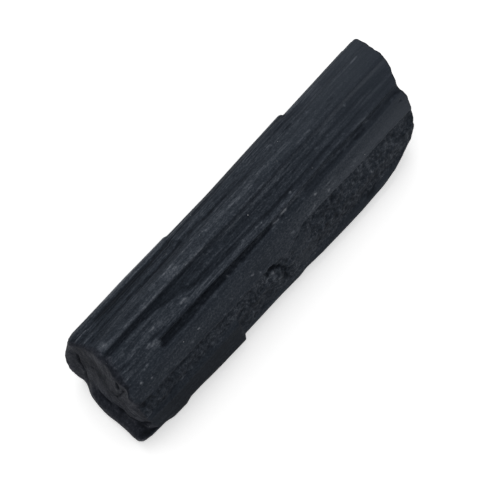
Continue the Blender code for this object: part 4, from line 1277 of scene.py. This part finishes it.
def specks_group():
    """Small flakes, one to a cell, in a share of the cells and of mixed size and brightness."""
    group, given, result = new_group(
        "mineral specks",
        (("Place", "NodeSocketVector"), ("Spacing", "NodeSocketFloat"), ("Share", "NodeSocketFloat"),
         ("Radius", "NodeSocketFloat")),
        (("Mask", "NodeSocketFloat"),),
    )
    spread = group.nodes.new("ShaderNodeVectorMath")
    spread.operation = "DIVIDE"
    cell = group.nodes.new("ShaderNodeTexVoronoi")
    cell.inputs["Scale"].default_value = 1.0
    group.links.new(given.outputs["Place"], spread.inputs[0])
    group.links.new(given.outputs["Spacing"], spread.inputs[1])
    group.links.new(spread.outputs["Vector"], cell.inputs["Vector"])
    parts = group.nodes.new("ShaderNodeSeparateColor")
    group.links.new(cell.outputs["Color"], parts.inputs["Color"])
    chosen = math_node(group, "LESS_THAN", parts.outputs["Red"], given.outputs["Share"])
    size = map_range(group, parts.outputs["Green"], 0.0, 1.0, 0.4, 1.0)
    reach = math_node(group, "MULTIPLY", given.outputs["Radius"], size)
    near = math_node(group, "LESS_THAN", cell.outputs["Distance"], reach)
    shine = map_range(group, parts.outputs["Blue"], 0.0, 1.0, 0.15, 1.0)
    mask = math_node(group, "MULTIPLY", math_node(group, "MULTIPLY", chosen, near), shine)
    group.links.new(mask, result.inputs["Mask"])
    return group


def place_group(tree, group, place, values):
    """Put a group in a material with its own values."""
    node = tree.nodes.new("ShaderNodeGroup")
    node.node_tree = group
    tree.links.new(place, node.inputs["Place"])
    for title, value in values.items():
        node.inputs[title].default_value = value
    return node.outputs[0]


def attribute(tree, name):
    """One of the values that the skin's corners carry."""
    node = tree.nodes.new("ShaderNodeAttribute")
    node.attribute_name = name
    return node.outputs["Fac"]


def noise_sum(tree, place, group, parts):
    """Add up noises around 0."""
    total = None
    for stretch, strength in parts:
        value = place_group(tree, group, place, {"Stretch": stretch, "Detail": 2.0})
        value = math_node(tree, "MULTIPLY", math_node(tree, "SUBTRACT", value, 0.5), strength)
        total = value if total is None else math_node(tree, "ADD", total, value)
    return total


def crystal_material():
    """Nearly black stone with a low shine, paler on its crests and black in its furrows: partly wear, partly
    painted highlight and painted shade.
    """
    material = bpy.data.materials.new("black_tourmaline_finish")
    material.use_nodes = True
    tree = material.node_tree
    shader = tree.nodes["Principled BSDF"]
    shader.inputs["IOR"].default_value = REFRACTIVE_INDEX
    shader.inputs["Specular IOR Level"].default_value = SPECULAR_LEVEL
    shader.inputs["Specular Tint"].default_value = (*SPECULAR_TINT, 1.0)

    where = tree.nodes.new("ShaderNodeTexCoord")
    to_mm = tree.nodes.new("ShaderNodeVectorMath")
    to_mm.operation = "SCALE"
    to_mm.inputs["Scale"].default_value = 1.0 / METRES
    tree.links.new(where.outputs["Object"], to_mm.inputs[0])
    place = to_mm.outputs["Vector"]

    streaks = streaks_group()
    skin = noise_sum(tree, place, streaks, SKIN_NOISE)
    grit = noise_sum(tree, place, streaks, GRIT_NOISE)
    broken = attribute(tree, "broken")
    coarse = math_node(tree, "MAXIMUM", attribute(tree, "rough"), broken)
    skin = math_node(tree, "MULTIPLY", skin, attribute(tree, "streaked"))
    grit = math_node(tree, "MULTIPLY", grit, map_range(tree, broken, 0.0, 1.0, *GRIT_SHARE))
    detail = map_range(tree, coarse, 0.0, 1.0, skin, grit)
    dust = noise_sum(tree, place, streaks, DUST_NOISE)
    dust = math_node(tree, "MULTIPLY", dust, attribute(tree, "dusty"))
    detail = math_node(tree, "ADD", detail, dust)
    tone = math_node(tree, "MULTIPLY", attribute(tree, "tone"), TONE_STEP)
    shade = math_node(tree, "ADD", math_node(tree, "ADD", detail, tone), 0.5)
    colour = mix_colour(tree, broken, ramp(tree, shade, SKIN_COLOURS), ramp(tree, shade, BREAK_COLOURS))
    flecks = place_group(tree, specks_group(), place, FLECKS)
    colour = mix_colour(tree, flecks, colour, SPECK)
    tree.links.new(colour, shader.inputs["Base Color"])

    roughness = map_range(tree, shade, 0.2, 0.8, *ROUGHNESS)
    tree.links.new(roughness, shader.inputs["Roughness"])

    # The bump's height is the colour's detail, so raised streaks are painted paler and low ones darker:
    # random tone that is also painted light and shade on the bumps
    bump = tree.nodes.new("ShaderNodeBump")
    bump.inputs["Strength"].default_value = BUMP_STRENGTH
    bump.inputs["Distance"].default_value = BUMP_HEIGHT
    tree.links.new(detail, bump.inputs["Height"])
    tree.links.new(bump.outputs["Normal"], shader.inputs["Normal"])
    return material


def soften(mesh, verts):
    """Ease the sharpest edges once."""
    bmesh.ops.smooth_vert(mesh, verts=verts, factor=0.5, use_axis_x=True, use_axis_y=True, use_axis_z=True)


def tourmaline_crystal():
    """The crystal: a grid pushed onto its shape, eased at the rims, roughened and finished."""
    grid = grid_mesh()
    x, girth, broken = shape_grid(grid)
    bmesh.ops.recalc_face_normals(grid, faces=grid.faces)
    soften(grid, grid.verts)
    rims = [vert for vert, share in zip(grid.verts, broken) if share > RIM_SHARE]
    for _ in range(RIM_ROUNDS):
        soften(grid, rims)
    upper_rims = [vert for vert in rims if vert.co.z > UPPER_RIM_FOOT]
    for _ in range(UPPER_RIM_ROUNDS):
        soften(grid, upper_rims)
    masks = add_fine_relief(grid, x, girth, broken)
    settle_on_base(grid)
    fit_to_box(grid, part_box(CRYSTAL))
    bmesh.ops.scale(grid, vec=Vector((METRES, METRES, METRES)), verts=grid.verts)
    mesh = bpy.data.meshes.new("crystal_skin")
    grid.to_mesh(mesh)
    grid.free()
    for name, values in masks.items():
        layer = mesh.attributes.new(name, "FLOAT", "POINT")
        layer.data.foreach_set("value", values.astype(np.float32))
    mesh.shade_smooth()
    mesh.materials.append(crystal_material())
    crystal = bpy.data.objects.new("crystal_skin", mesh)
    bpy.context.scene.collection.objects.link(crystal)
    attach(crystal, "root")
    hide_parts(CRYSTAL)
    return crystal


def floor():
    """The white floor, lit up a little towards the camera."""
    mesh = bmesh.new()
    bmesh.ops.create_grid(mesh, x_segments=1, y_segments=1, size=FLOOR_SIZE)
    data = bpy.data.meshes.new("white_floor")
    mesh.to_mesh(data)
    mesh.free()
    material = bpy.data.materials.new("white_floor")
    material.use_nodes = True
    tree = material.node_tree
    shader = tree.nodes["Principled BSDF"]
    shader.inputs["Base Color"].default_value = (*FLOOR_COLOUR, 1.0)
    shader.inputs["Roughness"].default_value = FLOOR_ROUGHNESS
    shader.inputs["Specular IOR Level"].default_value = 0.0
    shader.inputs["Emission Color"].default_value = (1.0, 1.0, 1.0, 1.0)
    path = tree.nodes.new("ShaderNodeLightPath")
    amount = tree.nodes.new("ShaderNodeMath")
    amount.operation = "MULTIPLY"
    amount.inputs[1].default_value = FLOOR_GLOW
    tree.links.new(path.outputs["Is Camera Ray"], amount.inputs[0])
    tree.links.new(amount.outputs[0], shader.inputs["Emission Strength"])
    data.materials.append(material)
    plane = bpy.data.objects.new("white_floor", data)
    bpy.context.scene.collection.objects.link(plane)


def area_lamp(name, direction, distance, size, power):
    """A round lamp that faces the crystal and that the camera doesn't see."""
    light = bpy.data.lights.new(name, "AREA")
    light.shape = "DISK"
    light.size = size
    light.energy = power
    lamp = bpy.data.objects.new(name, light)
    place = Vector(direction).normalized() * distance
    lamp.location = place
    lamp.rotation_euler = place.to_track_quat("Z", "Y").to_euler()
    lamp.visible_camera = False
    bpy.context.scene.collection.objects.link(lamp)


def world():
    """Even white light from all round, brighter where the camera sees it."""
    sky = bpy.data.worlds.new("soft_room")
    sky.use_nodes = True
    tree = sky.node_tree
    background = tree.nodes["Background"]
    background.inputs["Color"].default_value = (1.0, 1.0, 1.0, 1.0)
    path = tree.nodes.new("ShaderNodeLightPath")
    strength = tree.nodes.new("ShaderNodeMapRange")
    strength.inputs["To Min"].default_value = ROOM_LIGHT
    strength.inputs["To Max"].default_value = ROOM_SEEN
    tree.links.new(path.outputs["Is Camera Ray"], strength.inputs["Value"])
    tree.links.new(strength.outputs["Result"], background.inputs["Strength"])
    bpy.context.scene.world = sky


def camera_view():
    """Place of the camera, and its directions to the right, up and backwards."""
    turn, rise = np.radians(VIEW_TURN), np.radians(VIEW_ELEVATION)
    back = Vector((np.sin(turn) * np.cos(rise), -np.cos(turn) * np.cos(rise), np.sin(rise)))
    right = Vector((np.cos(turn), np.sin(turn), 0.0))
    up = back.cross(right)
    low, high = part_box(CRYSTAL)
    middle = (Vector(low) + Vector(high)) / 2.0
    place = middle + (right * AIM_RIGHT + up * AIM_UP + back * VIEW_DISTANCE) * METRES
    return place, right, up, back


def camera():
    """The camera, which looks down on the crystal."""
    place, right, up, back = camera_view()
    data = bpy.data.cameras.new("camera")
    data.lens = LENS
    data.sensor_width = SENSOR_WIDTH
    data.clip_start = NEAREST_SEEN
    eye = bpy.data.objects.new("camera", data)
    turned = Matrix((right, up, back)).transposed().to_4x4()
    eye.matrix_world = Matrix.Translation(place) @ turned
    bpy.context.scene.collection.objects.link(eye)
    bpy.context.scene.camera = eye


bpy.context.scene.view_settings.view_transform = "Standard"
camera()
world()
floor()
area_lamp("key", KEY_DIRECTION, KEY_DISTANCE, KEY_SIZE, KEY_POWER)
tourmaline_crystal()
